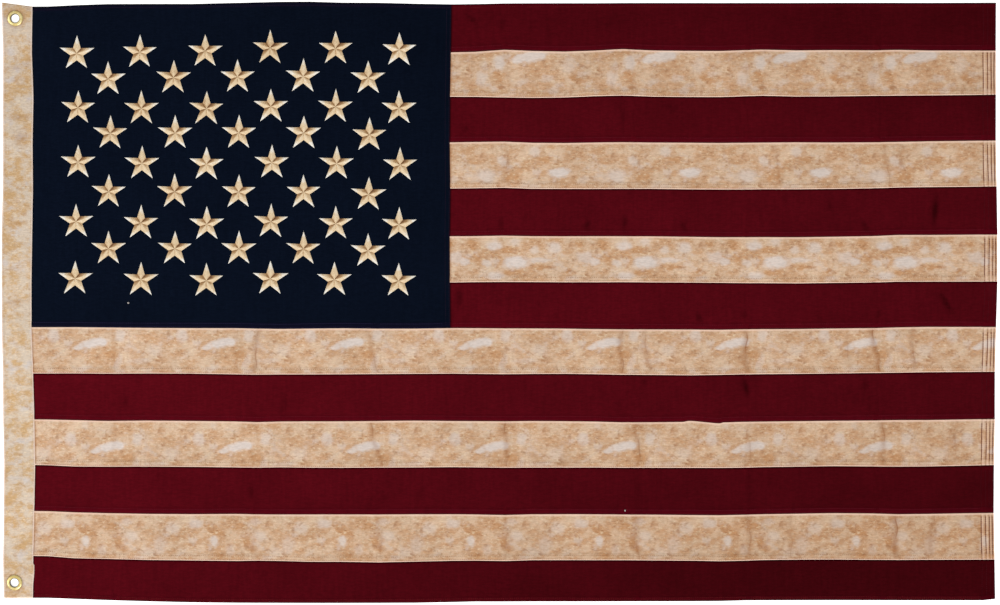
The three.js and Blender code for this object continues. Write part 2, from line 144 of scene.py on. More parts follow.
# Widths of folded bands, and how far the stitch rows stand from the edge that they hold
FELL_WIDTH = 8.4
HEM_WIDTH = 6.2
FLY_HEM_WIDTH = 20.6
FELL_ROWS = (1.8, 7.4)
TOP_HEM_ROWS = (5.3,)
BOTTOM_HEM_ROWS = (2.4, 5.2)
FLY_HEM_ROWS = (3, 7.4, 13, 19.8)
HEADING_ROWS = (2.6,)

# Thickness of the cloth as it looks, at a band, and where it tucks under its upper neighbour
CLOTH = 0.9
BAND_EXTRA = 0.6
STITCH_DIP = 0.16
TUCK = 1.0
TUCK_LOW, TUCK_HIGH = 0.15, 0.5
COLUMN_PITCH = 4.0
ROW_PITCH = 5.5

# Brown marks on the heading, painted shade of its wrinkles with stain: x, y, half length, half height,
# strength
HEADING_WRINKLE_SHADE_AND_STAIN = [
    (-740, 358, 13, 4, 0.3), (-734, 340, 10, 3, 0.25), (-735, 283, 12, 4, 0.25), (-732, 252, 11, 9, 0.35),
    (-737, 121, 12, 2.2, 0.4), (-747, 127, 8, 2, 0.3), (-743, 51, 12, 1.6, 0.25), (-741, 1, 14, 2.6, 0.5),
    (-738, -5, 10, 2, 0.3), (-748, -130, 11, 1.6, 0.35),
]

# Two specks of lint
LINT = [(192.2, -318.2), (-567.4, -1.0)]

# Grommets and the rise of the cloth round them
GROMMETS = {"top": (-740.0, 434.0), "bottom": (-741.0, -428.4)}
GROMMET_LIFT = 1.9
LIFT_FLAT_REACH, LIFT_REACH, LIFT_REACH_INTO_PANEL = 14, 70, 60
HEADING_THICKNESS = 2.0
# The heading's sewn edge slips outwards below this place
HEADING_SLIP_TOP, HEADING_SLIP = -405, 2.0

# Stars
STAR_RADIUS = 28.2
STAR_NOTCH = 0.37
STARS = [
    [-646.3, 380.7], [-549.8, 382.3], [-450, 384.1], [-350.7, 388.7], [-250.5, 388.4], [-153.3, 385.9],
    [-598.5, 341.3], [-498.4, 343.7], [-400.6, 344.6], [-300, 345.3], [-200.5, 342.9],
    [-644.5, 297.4], [-547.6, 296.4], [-448, 296.2], [-349.5, 299.3], [-250.6, 299.1], [-153.6, 296.7],
    [-595.1, 258.3], [-495.9, 258.7], [-398.4, 258.9], [-299.1, 258.7], [-198.9, 255.7],
    [-644.4, 214.2], [-546.5, 212.5], [-448.1, 211.1], [-347.8, 213.6], [-248.9, 212.1], [-151.9, 209.9],
    [-597.6, 168.9], [-496.7, 168.9], [-398.7, 168.4], [-299.6, 168.3], [-200, 164.6],
    [-647.5, 123.5], [-548.4, 121.1], [-447.4, 119.4], [-349.5, 123.1], [-250.2, 120.1], [-153.6, 118.5],
    [-597.9, 82.1], [-496.3, 82], [-398.3, 81.5], [-299.8, 81.5], [-200.9, 78.5],
    [-648.9, 36.2], [-548.2, 34.7], [-448.2, 32.8], [-350.6, 35.9], [-252.4, 34.4], [-154.3, 32.4],
]
STAR_TILT = -0.013

# Fold creases: place along the fly at the top and bottom of the panel, ridge height and how dark the
# crease is painted, stain with painted shade, panel by panel; other panels take the plain or the long ones
PLAIN_CREASES = [(9, 9, 0.5, 0), (203, 206, 0.7, 0), (376, 380, 0.9, 0), (572, 579, 0.9, 0)]
LONG_CREASES = [(-592, -590, 0.5, 0), (-372, -376, 0.5, 0), (-186, -184, 0.5, 0), *PLAIN_CREASES]
CREASES = {
    "canton": [(-369, -369, 0.4, 0), (-185, -185, 0.4, 0)],
    2: [
        (11, 15, 0.5, 0.3), (177, 173, 0.4, 0.2), (196, 213, 0.7, 0.3), (376, 380, 0.6, 0.2),
        (567, 575, 0.7, 0.3),
    ],
    4: [
        (10, 13, 0.5, 0.4), (201, 206, 0.6, 0), (419, 433, 0.6, 0.4), (589, 597, 0.8, 0.5),
        (611, 625, 0.5, 0.4),
    ],
    6: [(7, 9, 0.4, 0.2), (203, 206, 0.6, 0.1), (376, 380, 0.7, 0.2), (573, 579, 0.7, 0.2)],
    8: [
        (-591, -587, 0.6, 0.4), (-400, -400, 0.4, 0.3), (-368, -375, 0.8, 0.9), (-202, -185, 0.6, 0.6),
        (8, 10, 0.5, 0.3), (187, 188, 0.8, 0.9), (220, 232, 0.6, 0.6), (377, 378, 1.2, 1.1),
        (532, 535, 0.4, 0.4), (570, 582, 1.2, 1.1), (632, 635, 0.6, 0.7),
    ],
    10: [
        (-589, -587, 0.4, 0.2), (-371, -375, 0.5, 0.2), (-198, -179, 0.8, 0.8), (9, 13, 0.8, 0.9),
        (210, 215, 0.9, 0.9), (382, 383, 0.8, 0.5), (587, 589, 1, 0.8), (695, 698, 0.5, 0.4),
    ],
    12: [
        (-589, -585, 0.5, 0.3), (-373, -373, 0.5, 0.3), (-184, -181, 0.6, 0.4), (10, 12, 0.6, 0.4),
        (208, 212, 0.9, 0.7), (381, 384, 0.9, 0.8), (446, 446, 0.5, 0.5), (606, 608, 1.0, 1.1),
        (664, 660, 0.6, 0.6),
    ],
    13: [
        (-597, -591, 0.8, 0), (-373, -373, 0.4, 0), (208, 212, 0.6, 0), (381, 384, 0.8, 0),
        (584, 587, 0.8, 0),
    ],
}

# Soft dents in the maroon stripes, also painted darker as shade: x, y, half length along y, lean, depth
DENTS = [
    (-41, 433, 9, -0.9, 0.5), (5, 427, 12, 0, 0.3), (189, 290, 34, -0.05, 0.32), (-52, 265, 9, 0.3, 0.35),
    (262, 299, 9, -0.5, 0.35), (3, 121, 12, 0, 0.4), (135, 119, 8, 0.2, 0.5), (193, 123, 11, 0, 0.5),
    (282, 117, 9, -0.5, 0.5), (438, 159, 9, 0, 0.3), (506, 149, 14, 0, 0.3), (560, 118, 9, -0.5, 0.5),
    (667, 141, 22, 0.1, 0.7), (-63, 13, 10, 0.2, 0.35), (306, -23, 9, -0.5, 0.5), (375, -18, 9, 0, 0.4),
    (-60, 2, 14, 0.3, 0.4), (683, 1, 20, -0.6, 0.6), (580, -18, 8, 0.3, 0.35),
    (377, -129, 16, -0.25, 0.6), (223, -121, 8, 0, 0.35), (561, -127, 12, 0, 0.4),
    (-571, -151, 14, 0, 0.3), (-329, -151, 18, 0, 0.3), (-119, -291, 16, 0.2, 0.3),
    (213, -291, 36, 0, 0.2), (383, -290, 40, -0.03, 0.3), (146, -20, 8, 0, 0.22),
    (227, -21, 9, -0.2, 0.22), (506, -17, 8, 0, 0.2), (-379, -289, 14, 0, 0.4),
]

# Tan print: pale and ochre clouds of one repeat, in the print's own millimetres:
# x, y, half length, half height, tilt in degrees, strength. A cloud is full up to its core and
# gone at its end, both in half lengths, and its outline wanders by less than the rag, in mm.
PRINT_REPEAT = 197.0
PRINT_CUT = -79.0
CLOUD_CORE, CLOUD_END, CLOUD_RAG = 0.5, 1.4, 8
PALE_WEDGE = [
    (5, 1, 21, 6.5, 14, 1.0), (15, 3.2, 13, 6.5, 6, 1.0), (-15, -4.2, 11, 4.8, 16, 0.8),
    (-55, 13, 9, 11, 0, 0.6), (47, 12.7, 9, 10, 0, 0.55), (43, -28, 6, 14, -15, 0.4),
    (99, -10, 13, 10, 0, 0.32), (74, -26, 20, 4, 0, 0.3),
]
OCHRE_WEDGE = [
    (33, -15, 15, 8, 8, 0.9), (86, 9, 21, 7, -6, 0.7), (-22, -13, 13, 6, 20, 0.7),
    (-57, -14, 11, 6, 0, 0.8), (-18, 11, 11, 5, 0, 0.5), (66, -8, 9, 9, 0, 0.6), (20, 20, 16, 3, 0, 0.5),
    (110, -24, 12, 5, 0, 0.6), (118, 8, 10, 8, 0, 0.5), (-66, 20, 8, 5, 0, 0.6),
]
PALE_CREST = [
    (4, 1, 21, 8, 10, 1.0), (14, 4, 14, 8, 8, 1.0), (-14, -2.5, 13, 6.5, 10, 1.0),
    (-44, -8, 9, 12, 0, 0.75), (-71, -33, 9, 12, 0, 0.55), (60, -15, 10, 9, 0, 0.4),
    (-66, -14, 7, 7, 0, 0.4), (28, -32, 12, 6, 0, 0.4),
]
OCHRE_CREST = [
    (75, -34, 15, 8, -38, 1.0), (-46, -30, 7, 13, 28, 0.9), (20, -13, 20, 5, 0, 0.6),
    (106, -1, 14, 9, 0, 0.7), (-2, -32, 12, 6, 0, 0.5), (84, -12, 12, 5, 0, 0.5),
]
PALE_BAR = [
    (0, 0, 16, 7, 4, 1.0), (8, 1.5, 9, 6.5, 0, 1.0), (-110, -4, 16, 11, 0, 0.6), (-86, 18, 8, 9, 0, 0.55),
    (-36, 33, 9, 8, 0, 0.5), (38, -9, 10, 6, 0, 0.35), (-40, -22, 12, 5, 0, 0.3),
]
OCHRE_BAR = [
    (-69, -6, 14, 8, 8, 1.0), (-20, 21, 12, 7, 0, 0.9), (-25, 25, 5, 15, 0, 0.6), (72, 21, 21, 7, 0, 0.8),
    (26, 8, 10, 6, 0, 0.6), (50, -18, 14, 6, 0, 0.5), (-100, 24, 9, 6, 0, 0.5),
]
PALE_CLOUD = [
    (0, 0, 18, 9, 0, 1.0), (-10, -2, 12, 8, 0, 0.9), (-94, 7, 13, 9, 0, 0.6), (-81, 1, 9, 6, 0, 0.75),
    (-35, 25, 12, 7, 0, 0.8), (-34, -21, 13, 6, 0, 0.7), (56, 22, 11, 9, 0, 0.65),
    (34, 3, 20, 4, 0, 0.65), (26, 19, 8, 6, 0, 0.5), (-3, 31, 8, 5, 0, 0.5), (-46, -2, 8, 6, -30, 0.6),
]
OCHRE_CLOUD = [
    (-66, 26, 12, 8, -20, 1.1), (-14, 19, 17, 5, 5, 1.1), (-34, 9, 14, 7, -35, 1.1),
    (38, -7, 21, 4, 0, 1.1), (-6, -16, 16, 5, 0, 1.0), (96, 29, 10, 7, 0, 0.9), (79, -18, 9, 8, 0, 0.95),
    (-58, 6, 6, 14, 30, 0.9), (24, -20, 8, 8, 0, 0.6), (78, 18, 8, 8, 0, 0.6),
]
PALE_LUMP = [
    (0, 0, 7, 8, 0, 0.8), (-29, 27, 12, 7, 0, 0.6), (-65, 20, 12, 9, 0, 0.45), (69, 8, 10, 9, 0, 0.45),
    (-84, -6, 10, 14, 0, 0.4), (96, -16, 14, 8, 0, 0.35), (24, -12, 7, 9, 0, 0.4),
    (62, 30, 9, 6, 0, 0.45),
]
OCHRE_LUMP = [
    (0, 18, 20, 8, -35, 1.1), (53, 0, 10, 18, 25, 1.05), (37, 22, 12, 8, 0, 0.95),
    (4, -22, 12, 8, 0, 0.9), (-41, -8, 13, 6, 0, 0.7), (-96, -8, 11, 8, 0, 0.6), (92, 14, 8, 6, 0, 0.5),
]
# Where each tan stripe shows the print: middle of one pale figure, pitch along the stripe, kind
PRINT_PLACES = {
    2: (44.8, 374.5, 199.5, "crest"),
    4: (91, 197.5, 200, "bar"),
    6: (27, 61.5, 199, "cloud"),
    8: (-626, -63.7, 196.4, "wedge"),
    10: (-600, -222, 196, "wedge"),
    12: (-239.2, -365.6, 196.4, "lump"),
}

# Colours, as sRGB bytes
# Navy and maroon each have a shaded and a lit copy, mixed by the painted fall of light
NAVY, NAVY_LIT, NAVY_BAND = (6, 10, 20), (10, 17, 31), (17, 14, 32)
MAROON_SHADED, MAROON, MAROON_BAND = (60, 5, 11), (89, 10, 21), (84, 5, 21)
TAN, TAN_OCHRE, TAN_BROWN = (223, 193, 165), (204, 157, 116), (168, 118, 82)
# The last colour on the next line is a painted highlight for cloth edges
TAN_PALE, TAN_LIGHT, TAN_HIGHLIGHT = (226, 213, 205), (236, 215, 184), (255, 220, 198)
TAN_SHADED = (232, 224, 216)
CANVAS, CANVAS_OCHRE, CANVAS_BROWN = (214, 197, 178), (202, 164, 116), (184, 144, 104)
# The second colour on the next line is a painted highlight for the heading's edges
CANVAS_PALE, CANVAS_HIGHLIGHT = (209, 202, 200), (250, 228, 216)
# Brown of stains, also used for painted shade in creases, dents, grooves and the heading's wrinkles
CREASE_STAIN_AND_SHADE = (146, 90, 48)
# Star thread: cream, with a painted highlight colour for the tips and two painted shade colours
STAR_HIGHLIGHT, STAR_CREAM = (255, 250, 238), (240, 214, 174)
STAR_SHADE, STAR_DEEP_SHADE = (190, 148, 100), (112, 70, 36)
BRASS, BRASS_RUBBED, BRASS_TARNISH_AND_SHADE = (236, 208, 128), (255, 240, 178), (74, 58, 26)
LINT_WHITE = (232, 222, 214)
THREADS = {
    "navy": (46, 42, 84), "plum": (44, 20, 44), "rose": (104, 26, 40), "umber": (156, 108, 76),
    "wine": (104, 30, 22), "claret": (78, 12, 24), "straw": (214, 188, 160),
}


def linear(colour):
    """sRGB bytes as linear light, with full alpha"""
    shares = [value / 255 for value in colour]
    return (*[v / 12.92 if v < 0.04045 else ((v + 0.055) / 1.055) ** 2.4 for v in shares], 1.0)


def clamp01(values):
    return np.clip(values, 0.0, 1.0)


def smooth(values):
    values = clamp01(values)
    return values * values * (3 - 2 * values)


def bell(distance, width):
    """1 in the middle, falling off smoothly on both sides"""
    return np.exp(-((distance / width) ** 2))


def level_at(y):
    return np.interp(-np.asarray(y), [-value for value in PLAIN_HEIGHTS], LEVELS)


def hoist_edge(level):
    return LEFT + np.interp(level, LEVELS, HOIST_EDGE_IN)


def heading_seam(level):
    return LEFT + np.interp(level, LEVELS, HEADING_SEAM_IN)


def canton_edge(level):
    return LEFT + np.interp(level, LEVELS[: len(CANTON_EDGE_IN)], CANTON_EDGE_IN)


def fly_edge(level):
    return RIGHT - np.interp(level, LEVELS, FLY_EDGE_IN)


def seam_height(level, x):
    x = np.asarray(x, dtype=float)
    heights = SEAM_HEIGHTS[level]
    height = np.interp(x, SEAM_X[-len(heights):], heights)
    if level == 0:
        seam = heading_seam(0)
        height = height + HEADING_SLANT * clamp01((seam - x) / (seam - hoist_edge(0)))
    if level == SLIP_LEVEL:
        height = height + np.interp(x, SLIP_X, SLIP_OFF)
    if level == BOTTOM_LEVEL:
        height = height + CORNER_RISE * clamp01((x - fly_edge(level) + 20) / 20)
    return height


def ease(distance, near, far):
    """1 up to near, falling smoothly to 0 at far"""
    return 1 - smooth((distance - near) / (far - near))


def lift(x, y):
    """Rise of the cloth off the surface round the grommets"""
    height = np.zeros_like(x)
    seam = heading_seam(level_at(y))
    for centre_x, centre_y in GROMMETS.values():
        along = ease(np.abs(y - centre_y), LIFT_FLAT_REACH, LIFT_REACH)
        height += GROMMET_LIFT * along * ease(x - seam, 0, LIFT_REACH_INTO_PANEL)
    return height


def waves(x, y):
    """The small waves of cloth that was once folded"""
    return (
        0.16 * np.sin(x / 41 + 0.7 * np.sin(y / 60)) * np.sin(y / 23 + 1.1)
        + 0.12 * np.sin(x / 17.3 + y / 29 + 2)
        + 0.10 * np.sin(x / 26 - y / 19 + 0.5)
        + 0.20 * np.sin(x / 97 + 1.3) * np.cos(y / 71)
        + 0.30
    )


def dents(x, y):
    depth = np.zeros_like(x)
    for centre_x, centre_y, reach, lean, deep in DENTS:
        along = (y - centre_y) / reach
        across = (x - centre_x - lean * (y - centre_y)) / 6.5
        depth += deep * np.exp(-(along ** 2) - across ** 2)
        depth -= 0.5 * deep * np.exp(-(along ** 2) - (across - 1.7) ** 2)
    return depth


def object_from(name, points, faces, material, uvs=None, attributes=None):
    """A mesh object from points in mm, with values per point"""
    mesh = bpy.data.meshes.new(name)
    mesh.from_pydata((np.asarray(points) * MM).tolist(), [], np.asarray(faces).tolist())
    mesh.update()
    loops = np.empty(len(mesh.loops), dtype=np.int32)
    mesh.loops.foreach_get("vertex_index", loops)
    for layer_name, values in (uvs or {}).items():
        layer = mesh.uv_layers.new(name=layer_name)
        layer.data.foreach_set("uv", np.asarray(values, dtype=np.float32)[loops].ravel())
    for attribute_name, values in (attributes or {}).items():
        layer = mesh.attributes.new(attribute_name, "FLOAT", "POINT")
        layer.data.foreach_set("value", np.asarray(values, dtype=np.float32).ravel())
    mesh.polygons.foreach_set("use_smooth", np.ones(len(mesh.polygons), dtype=bool))
    mesh.materials.append(material)
    obj = bpy.data.objects.new(name, mesh)
    bpy.context.scene.collection.objects.link(obj)
    return obj


def on_both_faces(attributes):
    """Values of the upper face, given to the under face as well"""
    return {key: np.concatenate([value.ravel()] * 2) for key, value in attributes.items()}


def listed(*parts):
    """Values of a grid as one list of points"""
    return np.stack(parts, axis=-1).reshape(-1, len(parts))


def grid_faces(rows, columns, keep=None):
    """Quads of a closed sheet: top grid first, bottom grid after it, and the rim between them"""
    index = np.arange(rows * columns).reshape(rows, columns)
    a, b, c, d = index[:-1, :-1], index[:-1, 1:], index[1:, 1:], index[1:, :-1]
    top = np.stack([a, d, c, b], axis=-1)[np.ones(a.shape, dtype=bool) if keep is None else keep]
    bottom = top[:, ::-1] + rows * columns
    edges = np.concatenate([top[:, [k, (k + 1) % 4]] for k in range(4)])
    keys = {tuple(edge) for edge in edges.tolist()}
    rim = [(j, i, i + rows * columns, j + rows * columns) for i, j in keys if (j, i) not in keys]
    return np.concatenate([top, bottom, np.array(rim)])


# The camera looks straight down, with the photo's framing
CAMERA_HEIGHT = 3.6125
camera_data = bpy.data.cameras.new("camera")
camera_data.lens = 85
camera_data.sensor_width = 36
camera = bpy.data.objects.new("camera", camera_data)
camera.location = (0.00099, -0.00024, CAMERA_HEIGHT)
bpy.context.scene.collection.objects.link(camera)
bpy.context.scene.camera = camera
bpy.context.scene.view_settings.view_transform = "Standard"


# Materials are built with short calls; these are the sockets of a colour mix
MIX_FACTOR, MIX_A, MIX_B, MIX_RESULT = 0, 6, 7, 2


class Nodes:
    def __init__(self, name, roughness=0.9, specular=0.1, **own):
        self.material = bpy.data.materials.new(name)
        self.material.use_nodes = True
        self.tree = self.material.node_tree
        self.shader = self.tree.nodes["Principled BSDF"]
        self.shader.inputs["Roughness"].default_value = roughness
        self.shader.inputs["Specular IOR Level"].default_value = specular
        for socket, value in own.items():
            self.shader.inputs[socket.replace("_", " ")].default_value = value
        self.place = self.add("ShaderNodeTexCoord")["Object"]

    def put(self, socket, value):
        if isinstance(value, bpy.types.NodeSocket):
            self.tree.links.new(value, socket)
        else:
            socket.default_value = value

    def add(self, kind, inputs=(), **settings):
        node = self.tree.nodes.new(kind)
        for key, value in settings.items():
            setattr(node, key, value)
        for key, value in dict(inputs).items():
            self.put(node.inputs[key], value)
        return node.outputs

    def math(self, operation, a, b=0.0, c=0.0):
        return self.add("ShaderNodeMath", {0: a, 1: b, 2: c}, operation=operation)[0]

    def times(self, a, b):
        return self.math("MULTIPLY", a, b)

    def split(self, vector):
        return self.add("ShaderNodeSeparateXYZ", {0: vector})

    def vector(self, operation, a, b=(0, 0, 0)):
        return self.add("ShaderNodeVectorMath", {0: a, 1: b}, operation=operation)[0]

    def mix(self, factor, a, b, blend_type="MIX"):
        inputs = {MIX_FACTOR: factor, MIX_A: a, MIX_B: b}
        return self.add("ShaderNodeMix", inputs, data_type="RGBA", blend_type=blend_type)[MIX_RESULT]

    def between(self, value, low, high, to_low=0.0, to_high=1.0):
        """value eased from low..high to to_low..to_high"""
        inputs = {"Value": value, "From Min": low, "From Max": high, "To Min": to_low, "To Max": to_high}
        return self.add("ShaderNodeMapRange", inputs, interpolation_type="SMOOTHSTEP")[0]

    def noise(self, scale, stretch=(1, 1, 1), detail=3.0, place=None, shift=(0, 0, 0), roughness=0.55):
        """Noise whose grains are scale long in the place's own unit, stretched along the axes"""
        per_unit = tuple(1 / (scale * value) for value in stretch)
        inputs = {"Vector": place or self.place, "Scale": per_unit, "Location": shift}
        moved = self.add("ShaderNodeMapping", inputs)[0]
        inputs = {"Vector": moved, "Scale": 1.0, "Detail": detail, "Roughness": roughness}
        return self.add("ShaderNodeTexNoise", inputs)[0]

    def attribute(self, name):
        return self.add("ShaderNodeAttribute", attribute_name=name)["Fac"]

    def bump(self, height, distance, strength=1.0, under=None):
        inputs = {"Height": height, "Distance": distance, "Strength": strength}
        if under is not None:
            inputs["Normal"] = under
        return self.add("ShaderNodeBump", inputs)[0]

    def finish(self, colour, normal=None):
        self.put(self.shader.inputs["Base Color"], colour)
        if normal is not None:
            self.put(self.shader.inputs["Normal"], normal)
        return self.material


WEAVE_PITCH = 0.0009


def weave(nodes):
    """A plain weave: threads along x and y that pass over and under each other"""
    split = nodes.split(nodes.place)
    turns = 2 * math.pi / WEAVE_PITCH
    across = nodes.math("SINE", nodes.times(split["X"], turns))
    along = nodes.math("SINE", nodes.times(split["Y"], turns))
    return nodes.math("MULTIPLY_ADD", nodes.times(across, along), 0.5, 0.5)


def cloth_normal(nodes, slub_strength=0.5):
    """Weave, slubs in the yarn and faint wrinkles"""
    slubs = nodes.noise(0.004, (4, 0.35, 1), 3.0)
    wrinkles = nodes.noise(0.022, (1, 1.3, 1), 4.0, shift=(3, 1, 0))
    normal = nodes.bump(wrinkles, 0.0016, 0.55)
    normal = nodes.bump(slubs, 0.0005, slub_strength, normal)
    return nodes.bump(weave(nodes), 0.00016, 0.5, normal)


def soft_light_fall(nodes):
    """1 at the left middle of the flag, where the light is strongest, falling to 0 at the right corners"""
    split = nodes.split(nodes.place)
    along = nodes.math("MULTIPLY_ADD", split["X"], 0.66, 0.5)
    height = nodes.times(nodes.math("SUBTRACT", split["Y"], 0.05), 1 / 0.45)
    corner = nodes.times(nodes.times(height, height), nodes.math("MULTIPLY_ADD", along, 0.7, 0.3))
    fall = nodes.math("MULTIPLY_ADD", along, -0.5, 1.0)
    return nodes.math("MULTIPLY_ADD", corner, -0.62, fall)


def scaled(nodes, colour, amount):
    return nodes.add("ShaderNodeVectorMath", {0: colour, "Scale": amount}, operation="SCALE")[0]


def dyed_cotton(name, deep, plain, band, band_amount):
    """Dark dyed cotton: uneven in its dye, with a painted fall of light from a shaded to a lit copy,
    painted shade in its dents and seam grooves, and another shade on its bands
    """
    nodes = Nodes(name, roughness=0.95, specular=0.01)
    cloudy = nodes.noise(0.11, (1, 0.8, 1), 4.0)
    grain = nodes.noise(0.0030, (2.2, 0.6, 1), 3.0, shift=(5, 2, 0))
    streaks = nodes.noise(0.012, (0.35, 4, 1), 3.0, shift=(1, 7, 0))
    # Painted fall of light with uneven dye: the shaded copy where the light is weak, the lit copy where it
    # is strong
    light_fall_and_dye = nodes.math("ADD", soft_light_fall(nodes), nodes.between(cloudy, 0.25, 0.75, -0.12, 0.12))
    colour = nodes.mix(light_fall_and_dye, linear(deep), linear(plain))
    on_band = nodes.times(nodes.attribute("band"), band_amount)
    colour = nodes.mix(on_band, colour, linear(band))
    shade = nodes.between(grain, 0.3, 0.7, 0.88, 1.13)
    shade = nodes.times(shade, nodes.between(streaks, 0.3, 0.7, 0.94, 1.06))
    # Painted shade in dents and seam grooves
    shade = nodes.times(shade, nodes.between(nodes.attribute("crease"), 0, 1, 1, 0.3))
    return nodes.finish(scaled(nodes, colour, shade), cloth_normal(nodes))


def over_cut(chart):
    """The chart with each cloud that reaches over the cut of the print set at both ends"""
    whole = []
    for x, y, half_length, half_height, tilt, strength in chart:
        reach = CLOUD_END * half_length + CLOUD_RAG
        for place in (x - PRINT_REPEAT, x, x + PRINT_REPEAT):
            if -reach < place - PRINT_CUT < PRINT_REPEAT + reach:
                whole.append((place, y, half_length, half_height, tilt, strength))
    return whole


def clouds(nodes, place, chart):
    """Charted clouds: each is a soft ellipse"""
    total = 0.0
    for x, y, half_length, half_height, tilt, strength in over_cut(chart):
        inputs = {
            "Vector": place,
            "Location": (x, y, 0),
            "Rotation": (0, 0, math.radians(tilt)),
            "Scale": (half_length, half_height, 1),
        }
        inside = nodes.add("ShaderNodeMapping", inputs, vector_type="TEXTURE")[0]
        reach = nodes.add("ShaderNodeVectorMath", {0: inside}, operation="LENGTH")["Value"]
        total = nodes.math("MAXIMUM", total, nodes.between(reach, CLOUD_CORE, CLOUD_END, strength, 0.0))
    return total


def tea_stain(nodes, colours, place, charts=None, chart_place=None, marks=1.0):
    """Cotton dipped in tea: ochre mottle, lavender-white clouds, short dark dashes and light flecks"""
    plain, ochre, brown, pale, light = (linear(colour) for colour in colours)
    mottle = nodes.noise(24.0, (1.1, 0.85, 1.1), 6.0, place, roughness=0.74)
    blots = nodes.noise(12.0, (1.2, 0.8, 1.2), 4.0, place, (9, 4, 2))
    dashes = nodes.noise(5.0, (1.2, 0.45, 1.2), 3.0, place, (3, 8, 5), 0.7)
    flecks = nodes.noise(4.6, (1.2, 0.7, 1.2), 3.0, place, (6, 3, 1), 0.7)
    veins = nodes.noise(10.0, (0.30, 1.8, 0.30), 3.0, place, (6, 1, 7))
    smudges = nodes.noise(12.0, (1.0, 0.9, 1.0), 4.0, place, (1, 6, 9), 0.65)
    paleness = nodes.noise(22.0, (1.1, 0.9, 1.1), 4.0, place, (5, 5, 1))
    ochre_amount = nodes.between(mottle, 0.41, 0.61, 0.0, 0.92)
    pale_amount = nodes.between(paleness, 0.53, 0.70, 0.0, 0.65)
    if charts:
        pale_chart, ochre_chart = charts
        patchy = nodes.between(blots, 0.3, 0.6, 0.55, 1.2)
        charted = nodes.times(clouds(nodes, chart_place, ochre_chart), patchy)
        ochre_amount = nodes.math("MAXIMUM", nodes.times(ochre_amount, 0.85), charted)
        fluffy = nodes.between(flecks, 0.3, 0.6, 0.88, 1.15)
        charted = nodes.times(clouds(nodes, chart_place, pale_chart), fluffy)
        pale_amount = nodes.math("MAXIMUM", nodes.times(pale_amount, 0.75), charted)
    colour = nodes.mix(ochre_amount, plain, ochre)
    colour = nodes.mix(pale_amount, colour, pale)
    covered = nodes.between(pale_amount, 0.2, 0.85, 1.0, 0.1)
    fleck_amount = nodes.times(nodes.between(flecks, 0.52, 0.70, 0.0, 0.75 * marks), covered)
    colour = nodes.mix(fleck_amount, colour, light)
    dash_amount = nodes.times(nodes.between(dashes, 0.53, 0.72, 0.0, 0.85 * marks), covered)
    dash_amount = nodes.times(dash_amount, nodes.between(ochre_amount, 0.0, 0.8, 0.3, 1.0))
    smudge_amount = nodes.times(nodes.between(smudges, 0.53, 0.72, 0.0, 0.65), covered)
    dash_amount = nodes.math("MAXIMUM", dash_amount, smudge_amount)
    colour = nodes.mix(dash_amount, colour, brown)
    vein_amount = nodes.times(nodes.between(veins, 0.60, 0.80, 0.0, 0.35), covered)
    return nodes.mix(vein_amount, colour, brown)


def cotton_finish(nodes, colour, slubs, edge_highlight=TAN_HIGHLIGHT):
    """What tea-stained cloth shares: the painted fall of light, grain, creases and grooves darker with
    stain and painted shade, and painted highlights on edges
    """
    fall = soft_light_fall(nodes)
    colour = nodes.mix(fall, nodes.mix(1.0, colour, linear(TAN_SHADED), "MULTIPLY"), colour)
    bath = nodes.noise(0.09, (1, 0.8, 1), 3.0, shift=(2, 9, 0))
    grain = nodes.noise(0.0024, (2.4, 0.7, 1), 2.0, shift=(5, 2, 0))
    shade = nodes.between(bath, 0.3, 0.7, 0.95, 1.04)
    shade = nodes.times(shade, nodes.between(grain, 0.3, 0.7, 0.92, 1.07))
    colour = scaled(nodes, colour, shade)
    # Darker where stained and where shade is painted: creases, dents, grooves, heading wrinkles and round
    # the grommets
    colour = nodes.mix(nodes.attribute("crease"), colour, linear(CREASE_STAIN_AND_SHADE))
    # Painted highlight along edges and ridges
    colour = nodes.mix(nodes.attribute("edge_highlight"), colour, linear(edge_highlight))
    return nodes.finish(colour, cloth_normal(nodes, slubs))


def tan_cotton(name, chart):
    """Tea-stained cotton whose print repeats: the noise runs round a ring as long as one repeat"""
    nodes = Nodes(name, roughness=0.95, specular=0.05)
    print_place = nodes.add("ShaderNodeUVMap", uv_map="print")[0]
    split = nodes.split(print_place)
    turn = nodes.times(split["X"], 2 * math.pi / PRINT_REPEAT)
    round_reach = PRINT_REPEAT / (2 * math.pi)
    parts = {
        "X": nodes.times(nodes.math("COSINE", turn), round_reach),
        "Y": split["Y"],
        "Z": nodes.times(nodes.math("SINE", turn), round_reach),
    }
    round_place = nodes.add("ShaderNodeCombineXYZ", parts)[0]
    wrapped = nodes.math("WRAP", split["X"], PRINT_CUT + PRINT_REPEAT, PRINT_CUT)
    ragged = {"Vector": round_place, "Scale": 0.11, "Detail": 2.0}
    ragged = nodes.add("ShaderNodeTexNoise", ragged)["Color"]
    ragged = nodes.vector("MULTIPLY", nodes.vector("SUBTRACT", ragged, (0.5, 0.5, 0.5)), (12, 7, 0))
    flat_place = nodes.add("ShaderNodeCombineXYZ", {"X": wrapped, "Y": split["Y"], "Z": 0.0})[0]
    flat_place = nodes.vector("ADD", flat_place, ragged)
    colours = (TAN, TAN_OCHRE, TAN_BROWN, TAN_PALE, TAN_LIGHT)
    return cotton_finish(nodes, tea_stain(nodes, colours, round_place, chart, flat_place), 0.5)


